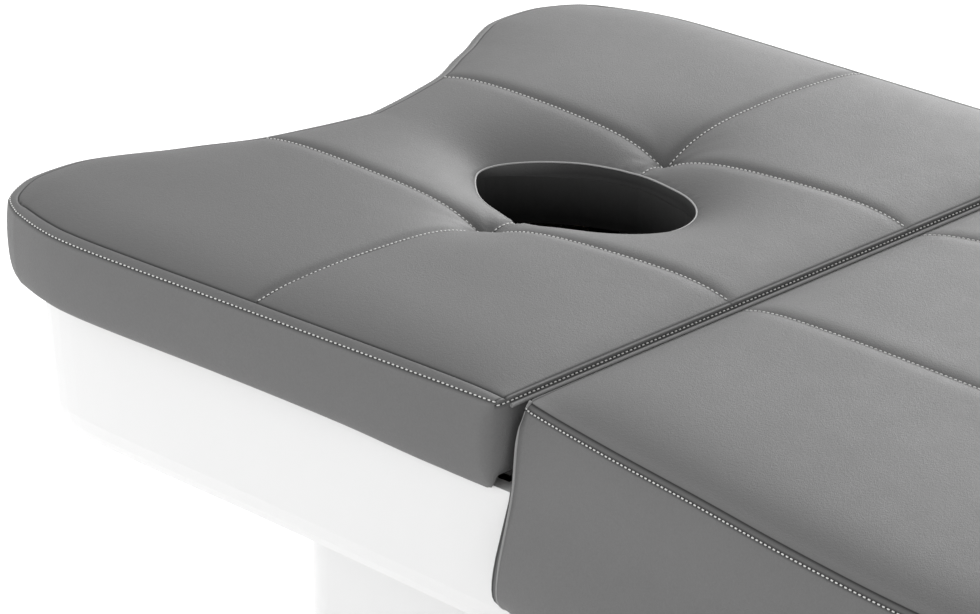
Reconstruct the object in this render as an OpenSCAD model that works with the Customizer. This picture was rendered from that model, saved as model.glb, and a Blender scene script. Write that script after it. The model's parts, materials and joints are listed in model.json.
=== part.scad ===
// Shampoo bed: a flared body cushion and a tilting, scooped head cushion with a face hole, on a white
// casing that two telescopic columns lift inside a pedestal. The bed lies along X with its head at -X,
// and it stands on the plane Z = 0, shown at its lowest and flat.

/* [Overall] */
// Length over both cushions
bed_length = 1964; // [1920:4:2040]
// Width over the widest part of the body cushion's skirts
bed_width = 934; // [920:2:960]
// Height of the head cushion's top seam with the bed at its lowest
seam_height = 600; // [590:2:640]
// How far the columns raise the bed
lift_travel = 250; // [180:10:250]

/* [Cushions] */
// Length of the head cushion, from the hinge gap to the tips beside its scoop
head_length = 595; // [585:1:615]
// Width of the head cushion at its widest
head_width = 748; // [736:2:760]
// Depth of the head cushion below its top seam
pad_thick = 67; // [64:1:72]
// How far the tops swell above their seams
crown_rise = 13; // [8:0.5:16]
// Depth of the sewn channels
channel_depth = 4.5; // [2:0.5:6]
// Width of the sewn channels
channel_width = 11; // [8:1:14]
// How deep the two tufts beside the face hole pull in
tuft_sink = 22; // [12:1:24]
// Gap between the head and body cushions
joint_gap = 10; // [9.5:0.5:12]
// Depth of the body cushion's skirts below its top seam
skirt_depth = 161; // [150:1:170]
// How far the skirts flare out below the top seam
skirt_flare = 33; // [28:1:36]

/* [Face hole] */
// Length of the face hole
hole_length = 225; // [210:1:235]
// Width of the face hole
hole_width = 149; // [135:1:156]
// Distance from the hinge gap to the middle of the face hole
hole_back = 260; // [255:1:270]
// How far the cushion dips at the hole's rim
rim_sink = 22; // [14:1:24]

/* [Head tilt] */
// How far the head section tilts up, in degrees
tilt_max = 45; // [30:1:45]
// Hinge axis, ahead of the head cushion's rear edge
hinge_back = 32; // [31:0.5:34]
// Hinge axis, below the head cushion's top seam
hinge_drop = 22; // [21:0.5:23]
// Height of the hinge axis above the ram's pin
lever_reach = 85; // [80:1:87]

/* [Casing and pedestal] */
// Depth of the white casing
casing_depth = 129; // [120:1:132]
// Wall of the casing
casing_wall = 6; // [4:0.5:8]
// Length of the pedestal
pedestal_length = 1396; // [1340:4:1400]
// How far the pedestal stands in from the sides of the casing
pedestal_inset = 40; // [26:1:46]
// Radius of the pedestal's upright corners
pedestal_corner = 40; // [30:1:50]
// Wall of the pedestal's shroud and plinth
sheet_wall = 4; // [3:0.5:5]
// Distance between the two lifting columns
column_spacing = 760; // [700:10:820]
// Outside width of the fixed column tubes
column_size = 150; // [140:2:160]

/* [Pedals] */
// Length of a rocker pedal along the bed
pedal_length = 150; // [130:2:156]
// Distance between the two pedals
pedal_spacing = 240; // [220:5:300]

/* [Hidden] */
over = 1;
hair = 0.3;
$fn = 48;

// Heights, from the cushions down to the floor
seam_z = seam_height;
pad_low_z = seam_z - pad_thick;
rim_gap = 6;
casing_top_z = pad_low_z - rim_gap;
casing_low_z = casing_top_z - casing_depth;
tube_wall = 3;
chassis_tube = 40;
chassis_low_z = casing_low_z + casing_wall;
chassis_top_z = chassis_low_z + chassis_tube;
board_thick = 12;
board_top_z = pad_low_z + board_thick;
quilt_thick = 25;
foam_top_z = seam_z - quilt_thick;
base_low_z = 28;
base_tube = 30;
base_top_z = base_low_z + base_tube;

// Places along the bed
side_swell = 4;
joint_x = head_length + side_swell - bed_length / 2;
body_x = joint_x + joint_gap;
body_length = bed_length / 2 - skirt_flare - body_x;
hole_x = joint_x - hole_back;

// Outline of the head cushion: half width along its length, and its far edge across its width
head_half = head_width / 2;
head_half_shares = [[0, 0.983], [0.154, 0.9865], [0.309, 0.99], [0.51, 0.995], [0.71, 1], [0.804, 0.995],
  [0.862, 0.978], [0.914, 0.953]];
head_far_shares = [[0, 0.842], [0.1, 0.853], [0.19, 0.8655], [0.307, 0.885], [0.425, 0.919], [0.515, 0.944],
  [0.572, 0.9635], [0.631, 0.982], [0.683, 0.995], [0.747, 1], [0.838, 0.997], [0.894, 0.984],
  [0.946, 0.964], [0.974, 0.9425], [1, 0.914]];
head_channel_share = 0.2917;
head_columns_shares = [0, 0.07, 0.14, 0.2, 0.25, 0.2917, 0.335, 0.42, 0.52, 0.62, 0.72, 0.81, 0.89, 0.95, 1];
near_rows_shares = [0, 0.02, 0.07, 0.16, 0.3, 0.46, 0.62, 0.78, 0.9, 0.96, 1];
far_rows_shares = [0.04, 0.13, 0.28, 0.45, 0.63, 0.8, 0.92, 0.98, 1];
head_side_shares = [[0.05, 0.5], [0.3, 1], [0.62, 0.9], [0.84, 0.3], [0.95, -0.8], [1, -2.6]];
head_face_shares = [0, 0.2, 0, -0.5, -1.9, -4];
face_reach = 60;

// Outline of the body cushion, the same way
body_half_top = bed_width / 2 - skirt_flare;
body_half_shares = [[0, 0.797], [0.03, 0.818], [0.082, 0.85], [0.149, 0.887], [0.228, 0.933], [0.314, 0.972],
  [0.409, 0.993], [0.5, 1], [0.63, 0.993], [0.735, 0.972], [0.846, 0.933], [0.92, 0.898], [0.955, 0.86],
  [0.974, 0.815]];
body_far_shares = [[0, 1], [0.3, 0.9995], [0.6, 0.997], [0.8, 0.993], [0.9, 0.988], [0.96, 0.982],
  [1, 0.974]];
body_channel_share = 0.312;
body_columns_shares = [0, 0.1, 0.2, 0.265, 0.312, 0.36, 0.48, 0.62, 0.76, 0.88, 0.95, 1];
body_rows_shares = [0, 0.006, 0.02, 0.05, 0.1, 0.18, 0.27, 0.36, 0.46, 0.56, 0.66, 0.76, 0.85, 0.92, 0.96,
  0.985, 1];
body_side_shares = [[0.03, 0.2], [0.17, 0.37], [0.41, 0.49], [0.59, 0.71], [0.77, 0.94], [0.91, 1], [0.975, 0.83],
  [1, 0.5]];
body_face_shares = [0, 0, 0, 0, 0, 0, -0.02, -0.1];
body_drop = 3;
edge_roll = 28;
rim_roll = 35;
tuft_roll = 42;
tuft_share = 0.99;
hem_wall = 14;
skirt_wall = 6;
panel_wall = 12;
panel_lift = 4;
panel_end_share = 0.9933;
welt_half_share = 0.95;
front_welt_share = 0.75;
welt_r = 1.7;
welt_drop = 6;

// Multiplier on an ellipse, from the hole's blunt end to its pointed one
hole_shares = [[-1, 1.02], [-0.64, 0.98], [-0.39, 0.955], [0, 1], [0.22, 0.95], [0.465, 0.88], [0.71, 0.755],
  [0.9, 0.64], [1, 0.6]];
hole_steps = 40;
sleeve_wall = 3;
piping_r = 1.6;

// Hinge and lever
hinge_x = joint_x - hinge_back;
hinge_z = seam_z - hinge_drop;
hinge_y = 210;
rail_width = 30;
rail_height = 30;
rail_low_z = pad_low_z - rail_height;
lug_thick = 5;
knuckle_r = 12;
hinge_pin_r = 5;
pin_fit = 0.05;
bush_r = 7;
bracket_thick = 8;
pin_head_r = 8;
pin_head = 3;
pocket_gap = 2;
pocket_half = rail_width / 2 + lug_thick + pin_head + pocket_gap;
slot_half = bracket_thick / 2 + pocket_gap;
knuckle_gap = 6;
rail_start = hinge_back + knuckle_r + knuckle_gap;
rail_end_share = 0.829;
rail_end = head_length * rail_end_share;
cross_rear = hinge_back + knuckle_r + rail_width / 2 + over;
cross_front_share = 0.708;
cross_front = head_length * cross_front_share;
lever_start = tilt_max / 2;
pin_x = hinge_x + lever_reach * tan(lever_start);
pin_z = hinge_z - lever_reach;
ram_pin_r = 6;
ram_play = 1;
lever_thick = 6;
lever_y = 14;
lever_inner = lever_y - lever_thick / 2;
ram_stroke = 2 * lever_reach * tan(lever_start);
ram_rod_r = 10;
ram_tube_r = 20;
eye_r = 12;
eye_half = lever_inner - 1;
ram_tube_gap = 22;
ram_tube_x = pin_x + ram_tube_gap;
rod_grip = 50;
tube_end = 20;
ram_tube_length = ram_stroke + rod_grip + tube_end;
gearbox = [64, 66, 62];
gearbox_x = ram_tube_x + ram_tube_length;
motor_r = 26;
motor_length = 120;
column_motor_gap = 94;
clamp_length = 36;
foot_plate = 5;
lever_rim = 7;
lever_far = lever_reach / cos(lever_start);
lever_mid = (lever_reach + lever_far) / 2;
lever_slot = lever_far - lever_reach + 2 * ram_play;
lever_eye = ram_pin_r + ram_play + lever_rim;
lever_heel_share = 0.84;
head_screws_shares = [0.2, 0.45, 0.7, 0.93];

// Casing: its outline round the head, from the middle of the scoop to the hinge gap
casing_head_shares = [[0.822, 0], [0.836, 0.15], [0.863, 0.32], [0.9, 0.49], [0.933, 0.62], [0.95, 0.7],
  [0.952, 0.77], [0.944, 0.838], [0.92, 0.878], [0.876, 0.902], [0.81, 0.914], [0.69, 0.922], [0.507, 0.929],
  [0.304, 0.942], [0.101, 0.958]];
casing_side_shares = [[0, 0], [0.4, -0.2], [0.8, -0.42], [0.89, -0.6], [0.96, -0.88], [1, -1.4]];
cavity_low_share = 0.88;
cavity_top_share = 0.42;
cavity_step = 24;
casing_draw = 16;
casing_steps = 2;
casing_corner = 70;
corner_steps = 6;
trough_gap = 12;
tub_half = head_half * 0.963;
trough_half = body_half_top * body_half_shares[0][1] - skirt_wall - panel_wall - trough_gap;
trough_back = 76;
trough_end = bed_length / 2 - trough_back;
pedestal_width = 2 * (trough_half - pedestal_inset);
tub_end = joint_x + joint_gap / 2;
seal_thick = 2.5;
seal_end = joint_x - hinge_back - face_reach;

// Chassis
chassis_y = hinge_y - bracket_thick / 2 - chassis_tube / 2;
chassis_end = 44;
chassis_head_share = 0.8;
chassis_head_x = joint_x - head_length * chassis_head_share;
chassis_foot_x = trough_end - chassis_end;
rest_x = joint_x - cross_front;
column_x = column_spacing / 2;
bearer_places_shares = [0.045, 0.28, 0.5, 0.72, 0.9];
bearer_screw_share = 0.9;
bearer_width = 40;
bearer_thick = 12;
bearer_half = trough_half - 3 * casing_wall;
post_width = 30;

// Columns
stage_travel = lift_travel / 2;
column_wall = 4;
glide_gap = 2;
stage_step = column_wall + glide_gap;
top_plate = [220, 190, 8];
plate_gap = 1;
inner_top_z = chassis_low_z - top_plate[2];
clamp_low_z = chassis_low_z + top_plate[2];
stage_rise = 8;
middle_size = column_size - 2 * stage_step;
inner_size = middle_size - 2 * stage_step;
middle_low_z = base_top_z + stage_rise;
inner_low_z = middle_low_z + stage_rise;
outer_top_z = inner_top_z - 2 * stage_rise;
middle_top_z = inner_top_z - stage_rise;
glide_height = 40;
bolt_r = 5;
bolt_inset = 16;
bolt_head_r = 8.5;
bolt_head = 5;
bolt_fit = 0.2;

// Pedestal and base
shroud_low_z = 110;
slide_gap = 3;
plinth_low_z = 12;
plinth_top_gap = 10;
flange_width = 26;
flange_thick = 4;
shroud_screws_shares = [-0.8, -0.27, 0.27, 0.8];
plinth_length = pedestal_length - 2 * (sheet_wall + slide_gap);
plinth_width = pedestal_width - 2 * (sheet_wall + slide_gap);
plinth_corner = pedestal_corner - sheet_wall - slide_gap;
kick_height = 34;
kick_thick = 2;
base_inset = 69;
base_y = plinth_width / 2 - base_inset;
base_width = 60;
foot_inset = 90;
foot_x = plinth_length / 2 - foot_inset;
foot_r = 30;
foot_thick = 10;
foot_stem_r = 6;
screw_r = 3;
screw_head_r = 6;
screw_head = 3.5;
tray_length = 320;
tray_thick = 2;
box_size = [250, 180, 92];
lid_thick = 4;
inlet_size = [50, 30];
inlet_z = 76;
inlet_depth = 30;
inlet_lip = 3;
socket_shares = [0.6, 0.56, 0.6];

// Pedals
pedal_z = 74;
pedal_pin_r = 5;
pedal_hub_r = 11;
pedal_plate = 6;
pedal_reach = 74;
pedal_top = 14;
tread_thick = 4;
tread_border = 6;
bracket_block = [44, 34, 44];
spring_r = 9;
spring_length = 16;
pedal_face_y = -plinth_width / 2;
pedal_pin_length = 118;

// Smooth curve through a table of pairs
function slot_of(t, x, i = 0) = i >= len(t) - 2 || x < t[i + 1][0] ? i : slot_of(t, x, i + 1);
function rise_over(t, a, b) = (t[b][1] - t[a][1]) / (t[b][0] - t[a][0]);
function slope_at(t, i) = rise_over(t, max(i - 1, 0), min(i + 1, len(t) - 1));
function blend(t, i, s, h) = (2 * s * s * s - 3 * s * s + 1) * t[i][1]
  + (s * s * s - 2 * s * s + s) * h * slope_at(t, i) + (3 * s * s - 2 * s * s * s) * t[i + 1][1]
  + (s * s * s - s * s) * h * slope_at(t, i + 1);
function curve(t, x) = let (i = slot_of(t, x), h = t[i + 1][0] - t[i][0])
  blend(t, i, min(1, (x - t[i][0]) / h), h);
function fall(d, roll) = exp(-max(d, 0) / roll);
function bell(d, w) = exp(-(d / w) * (d / w));

// Head cushion: u is the distance from the hinge gap, s the share of the half width
function last_of(t) = t[len(t) - 1][0];
function head_half_at(u) = head_half * curve(head_half_shares, min(u / head_length, last_of(head_half_shares)));
function head_far_at(s) = head_length * curve(head_far_shares, min(abs(s), 1));
function head_u(i, s) = i < len(near_rows_shares) ? hole_back * near_rows_shares[i]
  : hole_back + (head_far_at(s) - hole_back) * far_rows_shares[i - len(near_rows_shares)];
function mirrored(c) = concat([for (i = [len(c) - 1:-1:1]) -c[i]], c);
function edge_rise(u, y, half, far) = (1 - fall(u, edge_roll)) * (1 - fall(half - abs(y), edge_roll))
  * (1 - fall(far - u, edge_roll));
function hole_reach(u, y) = let (a = hole_length / 2, b = hole_width / 2,
  g = norm([(u - hole_back) / a, y / b])) (g - 1) * sqrt(a * b);
function tuft_reach(u, y) = norm([u - hole_back, abs(y) - head_channel_share * head_half * tuft_share]);
function head_channels(u, y, half) = let (off = abs(y) - head_channel_share * half,
  rim = abs(y) - hole_width / 2)
  max(bell(off, channel_width), bell(u - hole_back, channel_width) * (rim > 0 ? 1 : 0));
function head_rise(u, y, s) = let (half = head_half_at(u), e = edge_rise(u, y, half, head_far_at(s)))
  e * (crown_rise - channel_depth * head_channels(u, y, half)
  - norm([tuft_sink * fall(tuft_reach(u, y), tuft_roll), rim_sink * fall(hole_reach(u, y), rim_roll)]));
head_rows = len(near_rows_shares) + len(far_rows_shares);
head_grid = [for (i = [0:head_rows - 1]) [for (s = mirrored(head_columns_shares))
  let (u = head_u(i, s), y = s * head_half_at(u)) [u, y, head_rise(u, y, s)]]];

// Body cushion
function body_half_at(u) = body_half_top * curve(body_half_shares, min(u / body_length,
  last_of(body_half_shares)));
function body_far_at(s) = body_length * curve(body_far_shares, min(abs(s), 1));
function body_rise(u, y, s) = let (half = body_half_at(u))
  edge_rise(u, y, half, body_far_at(s)) * (crown_rise - channel_depth * bell(abs(y) - body_channel_share * half,
  channel_width));
body_grid = [for (i = body_rows_shares) [for (s = mirrored(body_columns_shares))
  let (u = i * body_far_at(s), y = s * body_half_at(u)) [u, y, body_rise(u, y, s)]]];

// Rim of a grid, clockwise from above, and the outward direction at each of its points
function rim_of(g) = let (n = len(g) - 1, m = len(g[0]) - 1) concat([for (j = [0:m]) [0, j]],
  [for (i = [1:n]) [i, m]], [for (j = [m - 1:-1:0]) [n, j]], [for (i = [n - 1:-1:1]) [i, 0]]);
function at(g, k) = g[k[0]][k[1]];
function out_at(p, k) = let (n = len(p), d = p[(k + 1) % n] - p[(k + n - 1) % n])
  [-d[1], d[0]] / norm([d[0], d[1]]);
function rim_point(g, p, k, out, face) = let (q = p[k], m = len(g[0]) - 1)
  k <= m ? [q[0] - face, q[1] + out * q[1] / abs(p[0][1])]
  : [q[0] - face * max(0, 1 - q[0] / face_reach), q[1]] + out * out_at(p, k);
function ring(g, out, face) = let (p = [for (k = rim_of(g)) at(g, k)])
  [for (k = [0:len(p) - 1]) rim_point(g, p, k, out, face)];

// Closed cushion: a crowned top over rings that swell and draw in down to a flat underside
module cushion(g, levels, faces, depth, swell) {
  rows = len(g);
  cols = len(g[0]);
  rim = rim_of(g);
  count = len(rim);
  top = [for (r = g) each r];
  rings = [for (k = [0:len(levels) - 1]) for (q = ring(g, swell * levels[k][1], swell * faces[k]))
    [q[0], q[1], -depth * levels[k][0]]];
  function spot(i, j) = i * cols + j;
  function upper(k, l) = l == 0 ? spot(rim[k][0], rim[k][1]) : rows * cols + (l - 1) * count + k;
  faces_top = [for (i = [0:rows - 2]) for (j = [0:cols - 2]) each j < (cols - 1) / 2
    ? [[spot(i, j), spot(i, j + 1), spot(i + 1, j + 1)], [spot(i, j), spot(i + 1, j + 1), spot(i + 1, j)]]
    : [[spot(i, j), spot(i, j + 1), spot(i + 1, j)], [spot(i, j + 1), spot(i + 1, j + 1), spot(i + 1, j)]]];
  faces_side = [for (l = [0:len(levels) - 1]) for (k = [0:count - 1]) let (n = (k + 1) % count)
    each [[upper(n, l), upper(k, l), upper(k, l + 1)], [upper(n, l), upper(k, l + 1), upper(n, l + 1)]]];
  bottom = [for (k = [count - 1:-1:0]) upper(k, len(levels))];
  polyhedron(concat(top, rings), concat(faces_top, faces_side, [bottom]), convexity = 6);
}

// Flat prism of a cushion's outline, drawn in by a wall
module outline_prism(g, wall, low, high) {
  translate([0, 0, low]) linear_extrude(high - low) polygon(ring(g, -wall, -wall));
}

// Frames of the two cushions: u runs away from the hinge gap
module hollow_x(x, y, z, size) translate([0, y, z])
  block([x[0] - over, x[1] + over], [-size / 2 + tube_wall, size / 2 - tube_wall],
    [tube_wall, size - tube_wall]);
module head_place(z = 0) translate([joint_x, 0, z]) mirror([1, 0, 0]) children();
module body_place(z = 0) translate([body_x, 0, z]) children();

// Face hole
function hole_point(a, grow) = let (c = cos(a), r = [hole_length / 2 + grow, hole_width / 2 + grow])
  [hole_back + r[0] * c, r[1] * sin(a) * curve(hole_shares, c)];
function hole_ring(grow) = [for (k = [0:hole_steps - 1]) hole_point(360 * k / hole_steps, grow)];
module hole_prism(grow, low, high) translate([0, 0, low]) linear_extrude(high - low) polygon(hole_ring(grow));

// Small shapes
module block(x, y, z) translate([x[0], y[0], z[0]]) cube([x[1] - x[0], y[1] - y[0], z[1] - z[0]]);
module box_at(c, size) translate([c[0] - size[0] / 2, c[1] - size[1] / 2, c[2]]) cube(size);
module both_y(y) for (s = [-1, 1]) translate([0, s * y, 0]) children();
module both_x(x) for (s = [-1, 1]) translate([s * x, 0, 0]) children();
module rod_y(r, from, to) translate([0, from, 0]) rotate([-90, 0, 0]) cylinder(r = r, h = to - from);
module rod_x(r, from, to) translate([from, 0, 0]) rotate([0, 90, 0]) cylinder(r = r, h = to - from);
module round_plate(l, w, r) {
  square([l - 2 * r, w], center = true);
  square([l, w - 2 * r], center = true);
  for (a = [-1, 1]) for (b = [-1, 1]) translate([a * (l / 2 - r), b * (w / 2 - r)]) circle(r = r);
}
module tube_box(size, wall, low, high) translate([0, 0, low]) linear_extrude(high - low) difference() {
  square([size, size], center = true);
  square([size - 2 * wall, size - 2 * wall], center = true);
}
module side_plate(y, thick) translate([0, y + thick / 2, 0]) rotate([90, 0, 0])
  linear_extrude(thick) children();

// Room in the head cushion for the hinge lugs and for the fixed brackets to swing through
module hinge_room() {
  top = hinge_z + knuckle_r + pocket_gap;
  for (s = [-1, 1]) {
    block([hinge_x - knuckle_r - pocket_gap, hinge_x + knuckle_r + pocket_gap],
      [s * hinge_y - pocket_half, s * hinge_y + pocket_half], [pad_low_z - over, top]);
    block([hinge_x, joint_x + side_swell + over], [s * hinge_y - slot_half, s * hinge_y + slot_half],
      [pad_low_z - over, top]);
  }
}

// Head cushion
module head_cover() color([0.46, 0.46, 0.47]) difference() {
  head_place(seam_z) cushion(head_grid, head_side_shares, head_face_shares, pad_thick, side_swell);
  head_place() outline_prism(head_grid, hem_wall, pad_low_z - over, foam_top_z);
  head_place() hole_prism(0, pad_low_z - over, seam_z + crown_rise + over);
  hinge_room();
}
module head_foam() color([0.93, 0.88, 0.7]) difference() {
  head_place() outline_prism(head_grid, hem_wall, board_top_z, foam_top_z);
  head_place() hole_prism(sleeve_wall, board_top_z - over, foam_top_z + over);
  hinge_room();
}
module head_board() color([0.76, 0.6, 0.4]) difference() {
  head_place() outline_prism(head_grid, hem_wall, pad_low_z, board_top_z);
  head_place() hole_prism(sleeve_wall, pad_low_z - over, board_top_z + over);
  hinge_room();
  head_screw_places() translate([0, 0, rail_low_z - over])
    cylinder(r = screw_r, h = rail_height + board_thick / 2 + over);
}
module face_hole_sleeve() color([0.12, 0.12, 0.13]) difference() {
  head_place() hole_prism(sleeve_wall, pad_low_z, foam_top_z);
  head_place() hole_prism(0, pad_low_z - over, foam_top_z + over);
}
module face_hole_piping() color([0.4, 0.4, 0.41]) {
  sides = 6;
  line = [for (k = [0:hole_steps - 1]) let (a = 360 * k / hole_steps, q = hole_point(a, -piping_r - hair),
    w = hole_point(a, 0)) [q[0], q[1], head_rise(w[0], w[1], w[1] / head_half) - piping_r]];
  head_place(seam_z) closed_tube(line, piping_r, sides);
}
module head_rear_welt() color([0.4, 0.4, 0.41]) translate([joint_x + welt_r + hair, 0, seam_z - welt_drop])
  rod_y(welt_r, -head_half * welt_half_share, head_half * welt_half_share);

// Tube swept round a closed line of points
module closed_tube(line, r, sides) {
  n = len(line);
  pts = [for (k = [0:n - 1]) let (d = line[(k + 1) % n] - line[(k + n - 1) % n],
    o = [-d[1], d[0], 0] / norm([d[0], d[1]]))
    for (m = [0:sides - 1]) line[k] + r * (cos(360 * m / sides) * o + [0, 0, sin(360 * m / sides)])];
  polyhedron(pts, [for (k = [0:n - 1]) for (m = [0:sides - 1])
    let (a = k * sides, b = ((k + 1) % n) * sides, q = (m + 1) % sides)
    each [[a + m, a + q, b + q], [a + m, b + q, b + m]]], convexity = 6);
}

// Steel frame under the head cushion
module head_frame() color([0.2, 0.2, 0.21]) difference() {
  union() {
    for (s = [-1, 1]) block([joint_x - rail_end, joint_x - rail_start],
      [s * hinge_y - rail_width / 2, s * hinge_y + rail_width / 2], [rail_low_z, pad_low_z]);
    for (u = [cross_rear, cross_front]) block([joint_x - u - rail_width / 2, joint_x - u + rail_width / 2],
      [-hinge_y, hinge_y], [rail_low_z, pad_low_z]);
    for (s = [-1, 1]) for (t = [-1, 1]) hinge_lug(s * hinge_y + t * (rail_width + lug_thick) / 2);
    both_y(lever_y) lever();
  }
  for (s = [-1, 1]) hollow_x([joint_x - rail_end, joint_x - rail_start], s * hinge_y, rail_low_z, rail_width);
  translate([hinge_x, 0, hinge_z]) rod_y(hinge_pin_r, -hinge_y - pocket_half, hinge_y + pocket_half);
  head_screw_places() translate([0, 0, rail_low_z - over]) cylinder(r = screw_r, h = rail_height + 2 * over);
}
module hinge_lug(y) side_plate(y, lug_thick) {
  translate([hinge_x, hinge_z]) circle(r = knuckle_r);
  translate([hinge_x - knuckle_r, rail_low_z]) square([2 * knuckle_r, hinge_z - rail_low_z]);
  translate([joint_x - rail_start - rail_width, rail_low_z])
    square([rail_start + rail_width - hinge_back, rail_height - over]);
}
module lever() translate([hinge_x, 0, hinge_z]) difference() {
  side_plate(0, lever_thick) lever_outline();
  for (a = [-1, 1]) rotate([0, -lever_start, 0]) translate([0, 0, -lever_mid + a * lever_slot / 2])
    rod_y(ram_pin_r + ram_play, -lever_thick, lever_thick);
  rotate([0, -lever_start, 0]) block([-ram_pin_r - ram_play, ram_pin_r + ram_play], [-lever_thick, lever_thick],
    [-lever_mid - lever_slot / 2, -lever_mid + lever_slot / 2]);
}
module lever_outline() {
  rotate(lever_start) translate([0, -lever_mid - lever_slot / 2]) circle(r = lever_eye);
  rotate(lever_start) translate([-lever_eye, -lever_mid - lever_slot / 2])
    square([2 * lever_eye, lever_slot + ram_pin_r]);
  rise = hinge_drop - over - pad_thick;
  polygon([[hinge_back - cross_rear + rail_width / 2, rise], [lever_reach * sin(lever_start), rise],
    [lever_reach * sin(lever_start) + lever_eye, -lever_reach * lever_heel_share], [0, -lever_reach],
    [hinge_back - cross_rear + rail_width / 2, rise - rail_height + over]]);
}
module head_screw_places() for (s = [-1, 1]) for (f = head_screws_shares)
  translate([joint_x - rail_start - (rail_end - rail_start) * f, s * hinge_y, 0]) children();
module head_board_screws() color([0.7, 0.7, 0.72]) head_screw_places() {
  translate([0, 0, rail_low_z]) cylinder(r = screw_r, h = rail_height + board_thick / 2);
  translate([0, 0, rail_low_z - screw_head]) cylinder(r = screw_head_r, h = screw_head);
}
module hinge_pins() color([0.75, 0.75, 0.77]) for (s = [-1, 1]) translate([hinge_x, s * hinge_y, hinge_z]) {
  rod_y(hinge_pin_r, -rail_width / 2 - lug_thick - pin_head, rail_width / 2 + lug_thick);
  rod_y(pin_head_r, rail_width / 2 + lug_thick, rail_width / 2 + lug_thick + pin_head);
}
module hinge_pin_clips() color([0.3, 0.3, 0.32]) both_y(hinge_y) translate([hinge_x, 0, hinge_z]) difference() {
  rod_y(pin_head_r, -rail_width / 2 - lug_thick - pin_head / 2, -rail_width / 2 - lug_thick);
  rod_y(hinge_pin_r, -rail_width, rail_width);
}

// Body cushion with its skirts
body_seam_z = seam_z - body_drop;
skirt_low_z = body_seam_z - skirt_depth;
panel_low_z = skirt_low_z + panel_lift;
module body_cover() color([0.5, 0.5, 0.51]) difference() {
  body_place(body_seam_z) cushion(body_grid, body_side_shares, body_face_shares, skirt_depth, skirt_flare);
  body_place() outline_prism(body_grid, skirt_wall, skirt_low_z - over, board_top_z);
  body_place() outline_prism(body_grid, hem_wall, pad_low_z, foam_top_z);
  block([body_x - over, body_x + 3 * skirt_wall], [-trough_half - trough_gap / 2, trough_half + trough_gap / 2],
    [skirt_low_z - over, pad_low_z]);
}
module body_foam() color([0.93, 0.88, 0.7]) body_place()
  outline_prism(body_grid, hem_wall, board_top_z, foam_top_z);
module body_board() color([0.76, 0.6, 0.4]) difference() {
  body_place() outline_prism(body_grid, skirt_wall, pad_low_z, board_top_z);
  body_screw_places() translate([0, 0, pad_low_z - over]) cylinder(r = screw_r, h = board_thick / 2 + over);
}
module body_front_welt() color([0.4, 0.4, 0.41]) translate([body_x - welt_r - hair, 0, body_seam_z - welt_drop])
  rod_y(welt_r, -body_half_top * front_welt_share, body_half_top * front_welt_share);
panel_start = body_x + 3 * skirt_wall;
panel_end = body_x + body_length * panel_end_share - skirt_wall - panel_wall;
module skirt_panel(from, to, low, high) translate([0, 0, panel_low_z]) linear_extrude(pad_low_z - panel_low_z)
  intersection() {
    difference() {
      translate([body_x, 0]) polygon(ring(body_grid, -skirt_wall, -skirt_wall));
      translate([body_x, 0]) polygon(ring(body_grid, -skirt_wall - panel_wall, -skirt_wall - panel_wall));
    }
    translate([from, low]) square([to - from, high - low]);
  }
module skirt_panel_left() color([0.76, 0.6, 0.4]) skirt_panel(panel_start, panel_end, 0, bed_width);
module skirt_panel_right() color([0.76, 0.6, 0.4]) skirt_panel(panel_start, panel_end, -bed_width, 0);
module skirt_panel_foot() color([0.76, 0.6, 0.4]) skirt_panel(panel_end, bed_length, -bed_width, bed_width);
module bearer_places() for (f = bearer_places_shares) translate([body_x + body_length * f, 0, 0]) children();
module body_screw_places() bearer_places() both_y(bearer_half * bearer_screw_share) children();
module body_board_screws() color([0.7, 0.7, 0.72]) body_screw_places() {
  translate([0, 0, pad_low_z - bearer_thick]) cylinder(r = screw_r, h = bearer_thick + board_thick / 2);
  translate([0, 0, pad_low_z - bearer_thick - screw_head]) cylinder(r = screw_head_r, h = screw_head);
}

// White casing: a tub under the head cushion and a narrower trough under the body cushion
function spline_point(a, b, c, d, s) = (2 * b + (c - a) * s + (2 * a - 5 * b + 4 * c - d) * s * s
  + (3 * b - a - 3 * c + d) * s * s * s) / 2;
function spline(p, steps) = [for (i = [0:len(p) - 2]) for (k = [0:steps - 1])
  spline_point(p[max(i - 1, 0)], p[i], p[i + 1], p[min(i + 2, len(p) - 1)], k / steps)];
casing_head = [for (q = casing_head_shares) [joint_x - head_length * q[0], head_half * q[1]]];
casing_half = concat(spline(concat(casing_head, [[tub_end, tub_half]]), casing_steps), [[tub_end, tub_half],
  [tub_end, trough_half]], [for (k = [0:corner_steps]) [trough_end - casing_corner, trough_half - casing_corner]
  + casing_corner * [sin(90 * k / corner_steps), cos(90 * k / corner_steps)]]);
casing_line = concat(casing_half,
  [for (k = [len(casing_half) - 1:-1:1]) [casing_half[k][0], -casing_half[k][1]]]);
function side_out(a, b) = [a[1] - b[1], b[0] - a[0]] / norm(b - a);
function mitre(p, k) = let (n = len(p), a = side_out(p[(k + n - 1) % n], p[k]),
  b = side_out(p[k], p[(k + 1) % n])) (a + b) / (1 + a * b);
function casing_ring(out) = [for (k = [0:len(casing_line) - 1]) casing_line[k] + out * mitre(casing_line, k)];
module loft(levels) {
  count = len(casing_line);
  last = len(levels) - 1;
  middle = joint_x - head_length / 2;
  points = concat([for (l = levels) for (q = casing_ring(l[0])) [q[0], q[1], l[1]]],
    [[middle, 0, levels[0][1]], [middle, 0, levels[last][1]]]);
  sides = [for (l = [0:len(levels) - 2]) for (k = [0:count - 1])
    let (n = (k + 1) % count, a = l * count, b = a + count)
    each [[a + n, a + k, b + k], [a + n, b + k, b + n]]];
  ends = [for (k = [0:count - 1]) let (n = (k + 1) % count, b = last * count)
    each [[k, n, (last + 1) * count], [b + n, b + k, (last + 1) * count + 1]]];
  polyhedron(points, concat(sides, ends), convexity = 6);
}
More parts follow.
